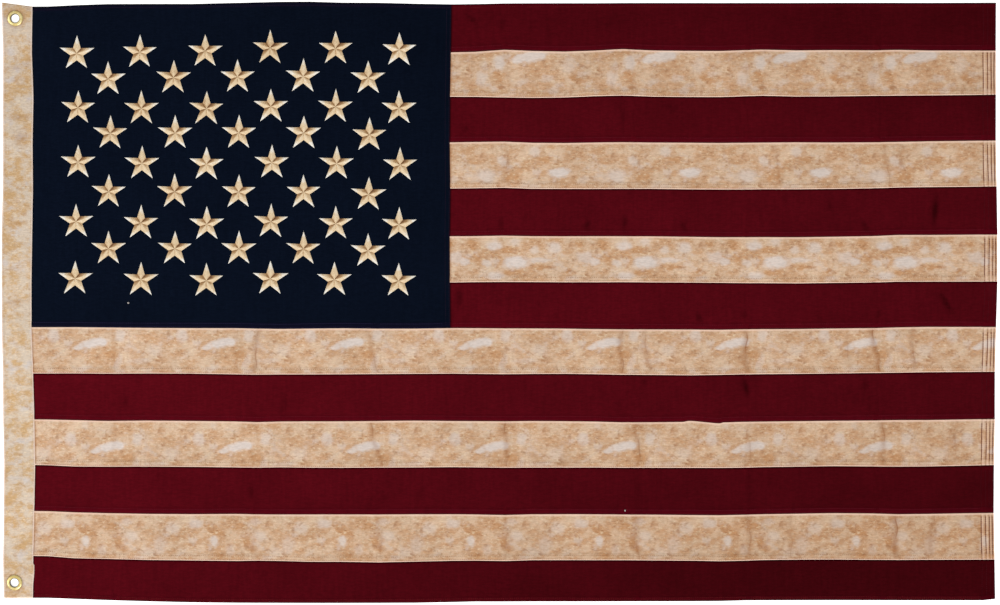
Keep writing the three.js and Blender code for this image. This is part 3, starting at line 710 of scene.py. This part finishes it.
def heading_canvas():
    nodes = Nodes("heading_canvas", roughness=0.92, specular=0.05)
    in_mm = nodes.vector("MULTIPLY", nodes.place, (900, 900, 1000))
    colours = (CANVAS, CANVAS_OCHRE, CANVAS_BROWN, CANVAS_PALE, TAN_LIGHT)
    stain_and_shade = tea_stain(nodes, colours, in_mm, marks=0.75)
    height = nodes.split(nodes.place)["Y"]
    # Painted fall of light: brighter towards the bottom, darker towards the top
    stain_and_shade = scaled(nodes, stain_and_shade, nodes.between(height, -0.4, 0.4, 1.11, 0.97))
    return cotton_finish(nodes, stain_and_shade, 0.8, CANVAS_HIGHLIGHT)


def star_thread():
    nodes = Nodes("star_thread", roughness=0.5, specular=0.3)
    threads = nodes.add("ShaderNodeUVMap", uv_map="thread")[0]
    along = nodes.split(threads)["X"]
    strands = nodes.math("SINE", nodes.times(along, 2 * math.pi / 0.9))
    patchy = nodes.noise(0.005, (1, 1, 1), 4.0)
    # Painted shading: below 0 it paints the highlight at the tips, above 0 it paints shade
    painted_shading = nodes.math("ADD", nodes.attribute("painted_shading"), nodes.between(patchy, 0.3, 0.75, -0.08, 0.14))
    colour = nodes.mix(nodes.between(painted_shading, -0.3, 0.0), linear(STAR_HIGHLIGHT), linear(STAR_CREAM))
    colour = nodes.mix(nodes.between(painted_shading, 0.0, 0.5), colour, linear(STAR_SHADE))
    colour = nodes.mix(nodes.between(painted_shading, 0.4, 1.0), colour, linear(STAR_DEEP_SHADE))
    # Painted shade in the grooves between the satin strands
    colour = nodes.mix(nodes.between(strands, -1, 1, 0.15, 0.0), colour, linear(STAR_DEEP_SHADE))
    return nodes.finish(colour, nodes.bump(strands, 0.0002, 0.5))


def sewing_thread(name, colour):
    nodes = Nodes("thread_" + name, roughness=0.6, specular=0.15)
    twist = nodes.noise(0.0016, (1, 1, 1), 2.0)
    shade = nodes.between(twist, 0.3, 0.7, 0.8, 1.2)
    return nodes.finish(scaled(nodes, linear(colour)[:3], shade), nodes.bump(twist, 0.0003, 0.6))


def brass():
    nodes = Nodes("brass", roughness=0.4, specular=0.5, Metallic=0.45)
    rubbed = nodes.noise(0.004, (1, 1, 1), 4.0)
    colour = nodes.mix(nodes.between(rubbed, 0.35, 0.7), linear(BRASS), linear(BRASS_RUBBED))
    # Tarnish with painted shade in the bore and at the rim
    colour = nodes.mix(nodes.attribute("tarnish_and_shade"), colour, linear(BRASS_TARNISH_AND_SHADE))
    scratches = nodes.noise(0.0012, (4, 0.4, 1), 3.0, shift=(2, 5, 1))
    return nodes.finish(colour, nodes.bump(scratches, 0.0002, 0.35))


def floor_paint():
    nodes = Nodes("floor", roughness=1.0, specular=0.0)
    dust = nodes.between(nodes.noise(0.3, (1, 1, 1), 2.0), 0.2, 0.8, 0.0, 0.05)
    nodes.shader.inputs["Emission Color"].default_value = (1, 1, 1, 1)
    nodes.shader.inputs["Emission Strength"].default_value = 0.8
    return nodes.finish(nodes.mix(dust, (0.94, 0.94, 0.94, 1), (0.88, 0.88, 0.88, 1)))


CHARTS = {
    "wedge": (PALE_WEDGE, OCHRE_WEDGE),
    "crest": (PALE_CREST, OCHRE_CREST),
    "bar": (PALE_BAR, OCHRE_BAR),
    "cloud": (PALE_CLOUD, OCHRE_CLOUD),
    "lump": (PALE_LUMP, OCHRE_LUMP),
}
NAVY_COTTON = dyed_cotton("navy_cotton", NAVY, NAVY_LIT, NAVY_BAND, 0.6)
MAROON_COTTON = dyed_cotton("maroon_cotton", MAROON_SHADED, MAROON, MAROON_BAND, 0.3)
TAN_COTTONS = {kind: tan_cotton("tan_cotton_" + kind, chart) for kind, chart in CHARTS.items()}
HEADING_CANVAS = heading_canvas()
STAR_THREAD = star_thread()
BRASS_METAL = brass()
LINT_FIBRE = sewing_thread("lint", LINT_WHITE)
THREAD_MATERIALS = {name: sewing_thread(name, colour) for name, colour in THREADS.items()}


# Panels. Distance of the rows from the lower edge, and below the upper edge or a top hem's edge,
# in mm; without a hem the last row is tucked under the neighbour above.
LOW_ROWS = [0, 0.35, 0.9, 1.8, 2.8, 4.6, 6.4, 7.4, 8.0, 8.8, 10.0, 12.5]
HIGH_ROWS = [3.5, 1.2, 0.3, -TUCK]
TOP_HEM_HIGH_ROWS = [8.4, 6.6, 5.3, 4.2, 2.4, 0.9, 0.35, 0]
CREASE_OFFSETS = [-9, -5.5, -3.2, -1.7, -0.8, 0, 0.8, 1.7, 3.2, 5.5, 9]
THINNEST = 0.55


def sway(y, seed):
    """Small wander of a crease off its straight line"""
    return 1.5 * np.sin(y / 9 + seed) + 0.8 * np.sin(y / 4.1 + 2 * seed)


def stitch_dips(distance, rows, reach=0.9):
    dip = np.zeros_like(distance)
    for row in rows:
        dip += STITCH_DIP * bell(distance - row, reach)
    return dip


def pillow(distance, width, rows):
    """Height of a folded band over plain cloth: a rounded edge, rows of stitches and a soft end"""
    edge = np.sqrt(clamp01(distance / 0.9))
    end = 1 - smooth((distance - width) / 1.6)
    crown = 0.12 * np.sin(np.pi * clamp01(distance / width))
    return BAND_EXTRA * end - stitch_dips(distance, rows) + crown * end, edge


def panel_columns(start, end, creases, fly_hem, right_band):
    """Places of the columns at the panel's middle, closer at its ends, bands and creases"""
    columns = set(np.linspace(start, end, int((end - start) / COLUMN_PITCH)).round(3))
    for top_x, bottom_x, _, _ in creases:
        centre = (top_x + bottom_x) / 2
        columns = {x for x in columns if abs(x - centre) > CREASE_OFFSETS[-1] + 1.5}
        columns |= {centre + offset for offset in CREASE_OFFSETS}
    columns = np.array(sorted(x for x in columns if start + 3 < x < end - 3))
    start_columns = start + np.array([0, TUCK, TUCK + 0.8])
    end_columns = end - np.array([0.35, 0] if fly_hem else [1.8, 0.9, 0.35, 0])
    extra = []
    if fly_hem:
        extra = [end - row + step for row in FLY_HEM_ROWS for step in (2, 1, 0, -1)] + [end - 22.5]
        columns = columns[columns < end - 24]
    if right_band:
        extra = [end - distance for distance in LOW_ROWS[4:]]
        columns = columns[columns < end - 14]
    return np.array(sorted([*start_columns, *columns, *extra, *end_columns]))


def panel_grid(upper, lower, left, right, creases, columns, high_rows):
    """x and y of the panel's points: rows that follow its seams, columns its ends and creases"""
    start, end, seed = columns[0], columns[-1], float(upper)
    nominal_low, nominal_high = PLAIN_HEIGHTS[lower], PLAIN_HEIGHTS[upper]
    body = nominal_high - nominal_low - LOW_ROWS[-1] - HIGH_ROWS[0]
    parts = np.linspace(0, 1, int(body / ROW_PITCH) + 1)[1:-1]
    rows = [("low", value) for value in LOW_ROWS] + [("part", value) for value in parts]
    rows += [("high", value) for value in high_rows]
    points_x, points_y = [], []
    for kind, value in rows:
        guess = nominal_low + value if kind == "low" else nominal_high - value
        if kind == "part":
            guess = nominal_low + LOW_ROWS[-1] + value * body
        level = float(level_at(guess))
        marks, shifts = [start], [float(left(level)) - start]
        along = (nominal_high - guess) / (nominal_high - nominal_low)
        for top_x, bottom_x, _, _ in creases:
            centre = (top_x + bottom_x) / 2
            shift = top_x + (bottom_x - top_x) * along - centre + sway(guess, seed + centre)
            marks += [centre + CREASE_OFFSETS[0], centre + CREASE_OFFSETS[-1]]
            shifts += [shift, shift]
        marks.append(end)
        shifts.append(float(right(level)) - end)
        x = columns + np.interp(columns, marks, shifts)
        low, high = seam_height(lower, x), seam_height(upper, x)
        y = low + value if kind == "low" else high - value
        if kind == "part":
            y = low + LOW_ROWS[-1] + value * (high - low - LOW_ROWS[-1] - high_rows[0])
        points_x.append(x)
        points_y.append(y)
    return np.array(points_x), np.array(points_y)


def with_creases(height, stain_and_shade, creases, x, y, along, seed):
    """Height and stain with painted shade from the fold creases: a ridge, a trough beside it and a dark
    core of stain and painted shade
    """
    for top_x, bottom_x, rise, dark in creases:
        centre = (top_x + bottom_x) / 2
        off = x - top_x - (bottom_x - top_x) * along - sway(y, seed + centre)
        swell = 0.65 + 0.35 * np.sin(y / 17 + 3 * centre)
        height = height + rise * swell * (bell(off, 4.2) - 0.45 * bell(off - 3.2, 1.6))
        core = clamp01(0.55 + 0.75 * np.sin(y / 11 + 1.7 * centre)) * bell(off, 1.3)
        halo = 0.4 * bell(off + 1.5, 4.5)
        stain_and_shade = np.maximum(stain_and_shade, dark * np.maximum(0.75 * core, halo))
    return height, stain_and_shade


def seam_shade_and_highlight(tan, from_low, from_high, from_left, from_right):
    """Painted shade in the grooves beside the seams, stitch rows and tucked end, and painted highlight on
    the edges and beside the fly hem rows
    """
    sewn_end = from_left - TUCK - 0.3
    if not tan:
        # Painted shade at both seam edges and the tucked end of the dark cloth
        groove_shade = 0.9 * bell(from_low - 0.1, 1.0) + bell(from_high - 0.6, 1.1)
        return np.maximum(groove_shade, 0.8 * bell(sewn_end, 0.9)), np.zeros_like(groove_shade)
    # Painted shade beside the stitch rows and the tucked end
    groove_shade = 0.34 * (bell(from_low - 2.1, 0.6) + 0.6 * bell(from_high - 2.3, 0.7))
    groove_shade = np.maximum(groove_shade, 0.7 * bell(sewn_end, 0.8))
    # Painted highlight along both edges
    edge_highlight = 0.95 * np.maximum(bell(from_low - 0.5, 0.8), bell(from_high - 0.7, 0.9))
    # Painted shade on the fly hem rows and painted highlight beside them
    for row in FLY_HEM_ROWS:
        groove_shade = np.maximum(groove_shade, 0.5 * bell(from_right - row, 0.8))
        edge_highlight = np.maximum(edge_highlight, 0.35 * bell(from_right - row + 2.0, 1.0))
    return groove_shade, edge_highlight


def panel(
    name, upper, lower, left, right, creases, material, slot_name, fly_hem=False, right_band=False,
    top_hem=False, tan=False, low_band=(FELL_ROWS, FELL_WIDTH), print_place=(0, 0, PRINT_REPEAT),
):
    """A closed sheet between two levels; left and right give its ends at a level"""
    seed = float(upper)
    middle = (upper + lower) / 2
    start, end = float(left(middle)), float(right(middle))
    columns = panel_columns(start, end, creases, fly_hem, right_band)
    high_rows = TOP_HEM_HIGH_ROWS if top_hem else HIGH_ROWS
    x, y = panel_grid(upper, lower, left, right, creases, columns, high_rows)
    level = level_at(y)
    from_low, from_high = y - seam_height(lower, x), seam_height(upper, x) - y
    from_left, from_right = x - left(level), right(level) - x

    low_rows, low_width = low_band
    band, edge = pillow(from_low, low_width, low_rows)
    band_mark = 1 - smooth((from_low - low_width) / 1.2)
    top = CLOTH + band
    if top_hem:
        hem, hem_edge = pillow(from_high, HEM_WIDTH, TOP_HEM_ROWS)
        top = np.maximum(top, CLOTH + hem)
        edge = np.minimum(edge, hem_edge)
        band_mark = np.maximum(band_mark, 1 - smooth((from_high - HEM_WIDTH) / 1.2))
    if fly_hem:
        hem, hem_edge = pillow(from_right, FLY_HEM_WIDTH, FLY_HEM_ROWS)
        top = top + hem
        edge = np.minimum(edge, hem_edge)
    if right_band:
        hem, hem_edge = pillow(from_right, FELL_WIDTH, FELL_ROWS)
        top = np.maximum(top, CLOTH + hem)
        edge = np.minimum(edge, hem_edge)
    away = smooth(from_low / 14) * smooth((from_high + 2) / 12)
    away = away * smooth((from_left + 2) / 12) * smooth(from_right / 14)
    pucker = np.sin(x / 5.1 + 2 * np.sin(x / 31 + seed)) * bell(from_low - 13, 8)
    pucker += np.sin(x / 5.7 + 2 * np.sin(x / 27 + 2 * seed)) * bell(from_high - 5, 7)
    dented = dents(x, y)
    height = top + waves(x, y) * (0.35 + 0.65 * away) + 0.14 * pucker - 1.6 * dented
    along = clamp01(from_high / (from_low + from_high + 1e-6))
    # Dents and creases are painted darker: stain with painted shade
    height, stain_and_shade = with_creases(height, 1.2 * np.maximum(dented, 0), creases, x, y, along, seed)
    height = np.maximum(height, THINNEST) * (0.30 + 0.70 * edge)
    tucked = np.zeros_like(x) if top_hem else clamp01(-from_high / 0.3)
    tucked = np.maximum(tucked, clamp01((TUCK - from_left) / 0.5))
    height = height * (1 - tucked) + TUCK_HIGH * tucked
    base = lift(x, y)

    grain = np.random.default_rng(11 + int(10 * upper + lower))
    jitter = grain.normal(0, 0.02, x.shape)
    top_points = listed(x, y, base + height + jitter * (1 - tucked))
    bottom_points = listed(x, y, base + TUCK_LOW * tucked)
    # Painted shade in the grooves and painted highlight on the edges
    groove_shade, edge_highlight = seam_shade_and_highlight(tan, from_low, from_high, from_left, from_right)
    stain_and_shade = np.minimum(np.maximum(stain_and_shade, groove_shade), 1.0)
    print_x, print_y, pitch = print_place
    uv = listed((x - print_x) * PRINT_REPEAT / pitch, y - print_y)
    sheet = object_from(
        name + "_cloth",
        np.concatenate([top_points, bottom_points]),
        grid_faces(*x.shape),
        material,
        {"print": np.concatenate([uv, uv])},
        on_both_faces({"band": band_mark, "crease": stain_and_shade, "edge_highlight": edge_highlight}),
    )
    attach(sheet, BODY)
    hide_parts(name)


def tucked_seam(level):
    return heading_seam(level) - TUCK


def tucked_canton_edge(level):
    return canton_edge(level) - TUCK


panel(
    "canton", 0, CANTON_LEVEL, tucked_seam, canton_edge, CREASES["canton"], NAVY_COTTON, "navy_cotton",
    top_hem=True, right_band=True,
)
for stripe in range(1, BOTTOM_LEVEL + 1):
    tan = stripe % 2 == 0
    short = stripe <= CANTON_LEVEL
    choices = {"fly_hem": True, "top_hem": stripe == 1, "tan": tan}
    material = MAROON_COTTON
    if tan:
        *place, kind = PRINT_PLACES[stripe]
        choices["print_place"] = place
        material = TAN_COTTONS[kind]
    if stripe == BOTTOM_LEVEL:
        choices["low_band"] = (BOTTOM_HEM_ROWS, HEM_WIDTH)
    panel(
        f"stripe_{stripe:02}", stripe - 1, stripe, tucked_canton_edge if short else tucked_seam, fly_edge,
        CREASES.get(stripe, PLAIN_CREASES if short else LONG_CREASES), material,
        "tan_cotton" if tan else "maroon_cotton", **choices,
    )


# Round a grommet the canvas is pressed flat under the flange, and ends at the hole
PRESSED_REACH, PRESSED_HEIGHT, HOLE_REACH = 12.4, 2.2, 7.2


def heading():
    """A folded canvas strip that lies over the ends of the panels"""
    across = np.array([0, 0.35, 0.9, 2, 3.6, *range(6, 40, 3), 41.5, 43.5, 44.8, 45.6, 46, 46.3])
    part = across / across[-1]
    tall = PLAIN_HEIGHTS[0] - PLAIN_HEIGHTS[BOTTOM_LEVEL]
    end_steps = np.array([0, 0.4, 1.2, 3, 6])
    steps = np.concatenate([end_steps, np.arange(9, tall - 8, 3.2), tall - end_steps[::-1]])
    fraction, up = np.meshgrid(part, steps / tall)
    nominal_y = PLAIN_HEIGHTS[BOTTOM_LEVEL] + up * tall
    level = level_at(nominal_y)
    left, right = hoist_edge(level), heading_seam(level)
    slip = clamp01((HEADING_SLIP_TOP - nominal_y) / 1.5) * clamp01((nominal_y - HEADING_SLIP_TOP + 34) / 20)
    right = right + HEADING_SLIP * slip
    x = left + (right - left) * fraction
    low, high = seam_height(BOTTOM_LEVEL, x), seam_height(0, x)
    y = low + (high - low) * up
    from_left, from_right = x - left, right - x
    from_end = np.minimum(y - low, high - y)
    edge = np.sqrt(clamp01(np.minimum(np.minimum(from_left, from_right), from_end) / 1.3))
    height = HEADING_THICKNESS + 0.12 * np.sin(y / 13 + np.sin(y / 37)) + 0.10 * np.sin(x / 7 + y / 19)
    height -= stitch_dips(from_right, HEADING_ROWS, 1.0)
    height -= 0.5 * bell(from_right - 0.2, 1.0)
    keep = np.ones((x.shape[0] - 1, x.shape[1] - 1), dtype=bool)
    painted_shading = np.zeros_like(x)
    for centre_x, centre_y in GROMMETS.values():
        off = np.hypot(x - centre_x, y - centre_y)
        height -= 0.25 * bell(off - 14.5, 3.5)
        height = np.where(off < PRESSED_REACH, np.minimum(height, PRESSED_HEIGHT), height)
        # Painted shadow just outside the grommet's flange
        painted_shading += 0.35 * bell(off - 12, 2.2)
        outside = off > HOLE_REACH
        keep &= outside[:-1, :-1] & outside[:-1, 1:] & outside[1:, :-1] & outside[1:, 1:]
    base = lift(x, y)
    top = base + 0.5 + (height - 0.5) * edge
    # Painted shade of wrinkles, with stain
    for smudge_x, smudge_y, half_length, half_height, strength in HEADING_WRINKLE_SHADE_AND_STAIN:
        bend = 0.15 * (x - smudge_x) * np.sin(smudge_y)
        reach = np.hypot((x - smudge_x) / half_length, (y - smudge_y - bend) / half_height)
        painted_shading = np.maximum(painted_shading, strength * bell(reach, 1))
    # Painted shade along the fold, 3 mm in from the left edge
    painted_shading = np.maximum(painted_shading, 0.28 * bell(from_left - 3.0, 0.7))
    # Painted highlight on the sewn right edge and the folded left edge
    edge_highlight = np.maximum(0.8 * bell(from_right - 0.9, 0.8), 0.85 * bell(from_left - 0.5, 1.4))
    points = np.concatenate([listed(x, y, top), listed(x, y, base)])
    flat = np.concatenate([listed(x, y)] * 2)
    strip = object_from(
        "heading_strip", points, grid_faces(*x.shape, keep), HEADING_CANVAS, {"print": flat},
        on_both_faces({"edge_highlight": edge_highlight, "crease": painted_shading}),
    )
    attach(strip, BODY)
    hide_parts("heading")


heading()


# The rolled eyelet's section, from the bore up, over the flange, down and back under: radius, height
EYELET_SECTION = [
    (6.35, 0.3), (6.35, 4.6), (6.55, 5.25), (7.1, 5.65), (8.0, 5.8), (9.2, 5.72), (10.4, 5.4), (11.3, 4.9),
    (11.8, 4.45), (11.9, 4.2), (11.6, 4.05), (7.0, 4.0), (7.0, 0.6), (9.2, 0.5), (9.3, 0.2), (9.0, 0.0),
    (6.7, 0.0),
]


def tarnish_and_shade_at(radius):
    """Tarnish with painted shade: dark in the bore, a little dark at the rim and bright between"""
    if radius < 7.5:
        return 1.0 if radius < 7.0 else 0.75
    return 0.3 if radius > 11.2 else 0.0


def grommet(name, centre_x, centre_y):
    """A rolled eyelet seen from above; the washer's own solid stays under the heading"""
    turns = 72
    angles = np.linspace(0, 2 * math.pi, turns, endpoint=False)
    points = [
        (centre_x + radius * math.cos(angle), centre_y + radius * math.sin(angle), z)
        for radius, z in EYELET_SECTION
        for angle in angles
    ]
    faces = []
    for ring in range(len(EYELET_SECTION)):
        a, b = ring * turns, (ring + 1) % len(EYELET_SECTION) * turns
        for turn in range(turns):
            beyond = (turn + 1) % turns
            faces.append((a + turn, b + turn, b + beyond, a + beyond))
    tarnish_and_shade = np.repeat([tarnish_and_shade_at(radius) for radius, _ in EYELET_SECTION], turns)
    eyelet = object_from(f"grommet_{name}", points, faces, BRASS_METAL, attributes={"tarnish_and_shade": tarnish_and_shade})
    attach(eyelet, BODY)
    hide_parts(f"eyelet_{name}")
    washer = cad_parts[f"washer_{name}"]
    for material_slot in washer.material_slots:
        material_slot.material = BRASS_METAL


for grommet_name, place in GROMMETS.items():
    grommet(grommet_name, *place)


# Stars: five padded arms of satin stitch, with shade painted on one side of each arm and in the valleys and
# a highlight painted near the tips
STAR_SEGMENTS = 7
STAR_RINGS = [0.0, 0.08, 0.18, 0.3, 0.42, 0.55, 0.68, 0.8, 0.9, 0.96, 1.0]
HALF_ARM = math.pi / 5


def star_points(number, centre_x, centre_y, grain):
    """Points of one star, spoke by spoke, with their places on the thread and their painted shading"""
    tilt = STAR_TILT * (1 + math.sin(3 * number))
    tips = STAR_RADIUS * (1 + grain.normal(0, 0.018, 5))
    notches = STAR_RADIUS * STAR_NOTCH * (1 + grain.normal(0, 0.03, 5))
    points, uvs, painted_shadings = [], [], []
    for arm in range(5):
        tip = tips[arm]
        for side in (-1, 1):
            notch = notches[arm] if side > 0 else notches[arm - 1]
            notch_x, notch_y = notch * math.cos(HALF_ARM), notch * math.sin(HALF_ARM)
            for step in range(STAR_SEGMENTS):
                share = step / STAR_SEGMENTS if side > 0 else 1 - step / STAR_SEGMENTS
                turn = share * HALF_ARM
                reach = tip * notch_y / (math.cos(turn) * notch_y - math.sin(turn) * (notch_x - tip))
                angle = math.pi / 2 + arm * 2 * HALF_ARM + side * turn + tilt
                width = share ** 1.5
                for ring in STAR_RINGS:
                    distance = ring * reach
                    ridge = 0.8 + 1.1 * math.sin(math.pi * min(1.0, ring * 1.1) ** 0.8)
                    valley = 0.8 - 0.55 * ring ** 0.5
                    height = ridge * (1 - width) + valley * width
                    height *= math.sqrt(max(0.0, 1 - max(0.0, (ring - 0.72) / 0.28) ** 2)) * 0.8 + 0.2
                    x, y = distance * math.cos(angle), distance * math.sin(angle)
                    points.append((x, y, height if ring < 1 else -0.4))
                    along, across = distance * math.cos(turn), distance * math.sin(turn)
                    uvs.append((along * 0.92 + across * 0.4, across))
                    painted_shadings.append(star_painted_shading(arm, side, share, ring, distance / STAR_RADIUS))
    return np.array(points) + (centre_x, centre_y, 0), uvs, np.array(painted_shadings)


# How much shade is painted on each arm's clockwise and its other side; arm 0 points up, the rest follow
# anticlockwise
ARM_PAINTED_SHADE = [(0.12, 0.22), (0.5, 0.05), (0.6, 0.06), (0.02, 0.3), (0.05, 1.0)]


def star_painted_shading(arm, side, share, ring, out):
    """Painted shading of the thread: shade on one side of each arm and in the valleys, a highlight near the
    tips; out is 1 at a tip
    """
    # Painted shade on one side of the arm, strongest towards the centre
    painted_shading = ARM_PAINTED_SHADE[arm][side > 0] * ease(out, 0.3, 0.75) * (0.2 + 0.8 * share ** 0.5)
    # Painted shade in the valleys between the arms
    painted_shading += 0.6 * share ** 6 * (1 - ring) ** 0.5
    # Painted highlight towards the tips
    return painted_shading - 0.6 * max(0.0, out - 0.45)


def stars():
    grain = np.random.default_rng(50)
    all_points, all_faces, all_uvs, all_painted_shadings = [], [], [], []
    rings, spokes = len(STAR_RINGS), 10 * STAR_SEGMENTS
    star_faces = []
    for spoke in range(spokes):
        for ring in range(rings - 1):
            a, b = spoke * rings + ring, (spoke + 1) % spokes * rings + ring
            star_faces.append((a, a + 1, b + 1, b))
    for number, (x, y) in enumerate(STARS):
        points, uvs, painted_shadings = star_points(number, x, y, grain)
        ground = lift(points[:, 0], points[:, 1]) + CLOTH + waves(points[:, 0], points[:, 1])
        points[:, 2] += ground
        all_faces.append(np.array(star_faces) + spokes * rings * len(all_points))
        all_points.append(points)
        all_uvs.append(uvs)
        all_painted_shadings.append(painted_shadings + grain.normal(-0.03, 0.035))
    sewn = object_from(
        "stars", np.concatenate(all_points), np.concatenate(all_faces), STAR_THREAD,
        {"thread": np.concatenate(all_uvs)}, {"painted_shading": np.concatenate(all_painted_shadings)},
    )
    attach(sewn, BODY)


stars()


# Sewing thread: every stitch is a small spindle that follows its seam
STITCH_PITCH = 3.3
STITCH_HALF = 1.15
STITCH_WIDTH = 0.42
LONG_STITCH_HALF, LONG_STITCH_WIDTH = 1.75, 0.72
stitches = {name: [] for name in THREADS}


def sew(thread, x, y, z, width=STITCH_WIDTH, half=STITCH_HALF):
    """Stitches along a line of points"""
    length = np.concatenate([[0], np.cumsum(np.hypot(np.diff(x), np.diff(y)))])
    at = np.arange(2, length[-1] - 2, STITCH_PITCH)
    jitter = np.random.default_rng(len(stitches[thread]) + 3).normal(0, 0.12, at.shape)
    ends = []
    for shift in (-half, half):
        where = at + shift + jitter
        ends.append(np.stack([np.interp(where, length, values) for values in (x, y, z)], axis=-1))
    stitches[thread].append((np.stack(ends, axis=1), width))


def cloth_top(x, y, extra=0.62):
    return lift(x, y) + CLOTH + extra + waves(x, y) * 0.5


def sew_level(level, x, rise, thread):
    y = seam_height(level, x) + rise
    wander = 0.25 * np.sin(x / 37 + level + rise)
    sew(thread, x, y + wander, cloth_top(x, y))


STEP = 2.0
for level in range(1, BOTTOM_LEVEL):
    start = float(canton_edge(level)) if level < CANTON_LEVEL else float(heading_seam(level))
    line = np.arange(start + 1, float(fly_edge(level)) - 1, STEP)
    upper_tan = level % 2 == 0
    if level == CANTON_LEVEL:
        border = float(canton_edge(level))
        for rise in FELL_ROWS:
            sew_level(level, line[line < border - 8], rise, "navy")
            sew_level(level, line[line > border + 1], rise, "rose")
        continue
    for rise in FELL_ROWS:
        sew_level(level, line, rise, "umber" if upper_tan else "rose")
seam, border, fly = (float(edge_at(0)) for edge_at in (heading_seam, canton_edge, fly_edge))
for drop in TOP_HEM_ROWS:
    sew_level(0, np.arange(seam + 1, border, STEP), -drop, "plum")
    sew_level(0, np.arange(border + 2, fly - 1, STEP), -drop, "wine")
seam, fly = float(heading_seam(BOTTOM_LEVEL)), float(fly_edge(BOTTOM_LEVEL))
bottom_line = np.arange(seam + 1, fly - 1, STEP)
for rise in BOTTOM_HEM_ROWS:
    sew_level(BOTTOM_LEVEL, bottom_line, rise, "wine")
up = np.arange(PLAIN_HEIGHTS[CANTON_LEVEL] + 4, PLAIN_HEIGHTS[0] - 4, STEP)
for inset in FELL_ROWS:
    line = canton_edge(level_at(up)) - inset
    sew("plum", line, up, cloth_top(line, up))
for stripe in range(1, BOTTOM_LEVEL + 1):
    up = np.arange(PLAIN_HEIGHTS[stripe] + 1, PLAIN_HEIGHTS[stripe - 1] - 1, STEP)
    for inset in FLY_HEM_ROWS:
        line = fly_edge(level_at(up)) - inset + 0.35 * np.sin(up / 13 + inset)
        if stripe % 2 == 0:
            sew("wine", line, up, cloth_top(line, up, 1.0), LONG_STITCH_WIDTH, LONG_STITCH_HALF)
        else:
            sew("claret", line, up, cloth_top(line, up, 0.9))
up = np.arange(PLAIN_HEIGHTS[BOTTOM_LEVEL] + 6, PLAIN_HEIGHTS[0] - 3, STEP)
for inset in HEADING_ROWS:
    line = heading_seam(level_at(up)) - inset
    sew("straw", line, up, lift(line, up) + HEADING_THICKNESS)

# The faces of a stitch: its two ends are points 0 and 1, its middle has points 2 to 5
SPINDLE_FACES = [(0, 2, 4), (0, 4, 3), (0, 3, 5), (0, 5, 2), (1, 4, 2), (1, 3, 4), (1, 5, 3), (1, 2, 5)]
for thread, lines in stitches.items():
    ends = np.concatenate([line for line, _ in lines])
    widths = np.concatenate([np.full(len(line), width) for line, width in lines])
    direction = ends[:, 1] - ends[:, 0]
    direction /= np.linalg.norm(direction, axis=1)[:, None]
    sideways = np.stack([-direction[:, 1], direction[:, 0], 0 * direction[:, 0]], axis=-1) * widths[:, None]
    middle = ends.mean(axis=1)
    upwards = np.array([0, 0, 0.28])
    around = [middle + sideways, middle - sideways, middle + upwards, middle - upwards]
    corners = np.stack([ends[:, 0], ends[:, 1], *around], axis=1)
    faces = (np.arange(len(ends))[:, None, None] * 6 + np.array(SPINDLE_FACES)[None]).reshape(-1, 3)
    sewn = object_from(f"stitches_{thread}", corners.reshape(-1, 3), faces, THREAD_MATERIALS[thread])
    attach(sewn, BODY)


def lint():
    """Short white fibres curled on the cloth"""
    grain = np.random.default_rng(7)
    points, faces = [], []
    ring = 6
    for centre_x, centre_y in LINT:
        for _ in range(5):
            turn, bend = grain.uniform(0, 2 * math.pi), grain.uniform(0.3, 0.8)
            start = len(points)
            steps = np.linspace(-1, 1, 8)
            for step in steps:
                along = 1.5 * step
                x = centre_x + along * math.cos(turn) - bend * step * step * math.sin(turn)
                y = centre_y + along * math.sin(turn) + bend * step * step * math.cos(turn)
                z = CLOTH + 0.9 + 0.5 * (1 - step * step) + float(lift(np.array([x]), np.array([y]))[0])
                radius = 0.28 * math.sqrt(max(0.05, 1 - step * step * 0.9))
                for side in range(ring):
                    angle = 2 * math.pi * side / ring
                    off, up = radius * math.cos(angle), radius * math.sin(angle)
                    points.append((x - off * math.sin(turn), y + off * math.cos(turn), z + up))
            for section in range(len(steps) - 1):
                for side in range(ring):
                    a, b = start + section * ring + side, start + section * ring + (side + 1) % ring
                    faces.append((a, b, b + ring, a + ring))
            first, last = start, start + (len(steps) - 1) * ring
            for cap, order in ((first, -1), (last, 1)):
                corners = [cap + side for side in range(ring)][::order]
                faces.append(tuple(corners[:4]))
                faces.append((corners[0], corners[3], corners[4], corners[5]))
    fluff = object_from("lint", points, faces, LINT_FIBRE)
    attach(fluff, BODY)


lint()


# Floor, in metres: wide enough that its end stays behind the flag in a low view
FLOOR_HALF, FLOOR_DROP = 120.0, 0.0002
floor_mesh = bpy.data.meshes.new("floor")
corners = [(-1, -1), (1, -1), (1, 1), (-1, 1)]
corners = [(FLOOR_HALF * x, FLOOR_HALF * y, -FLOOR_DROP) for x, y in corners]
floor_mesh.from_pydata(corners, [], [(0, 1, 2, 3)])
floor_mesh.materials.append(floor_paint())
floor = bpy.data.objects.new("floor", floor_mesh)
bpy.context.scene.collection.objects.link(floor)

# Soft studio light, strongest from below and a little to the right
world = bpy.data.worlds.new("studio")
bpy.context.scene.world = world
world.use_nodes = True
world.node_tree.nodes["Background"].inputs["Color"].default_value = (1, 1, 1, 1)
world.node_tree.nodes["Background"].inputs["Strength"].default_value = 0.42


def soft_light(name, place, size, power):
    data = bpy.data.lights.new(name, "AREA")
    data.size = size
    data.energy = power
    light = bpy.data.objects.new(name, data)
    light.location = place
    light.rotation_euler = (-light.location).to_track_quat("-Z", "Y").to_euler()
    bpy.context.scene.collection.objects.link(light)


soft_light("key_light", (5.3, -11.5, 10.0), 3.2, 1560)
soft_light("fill_light", (-6.2, -0.6, 4.6), 3.0, 210)
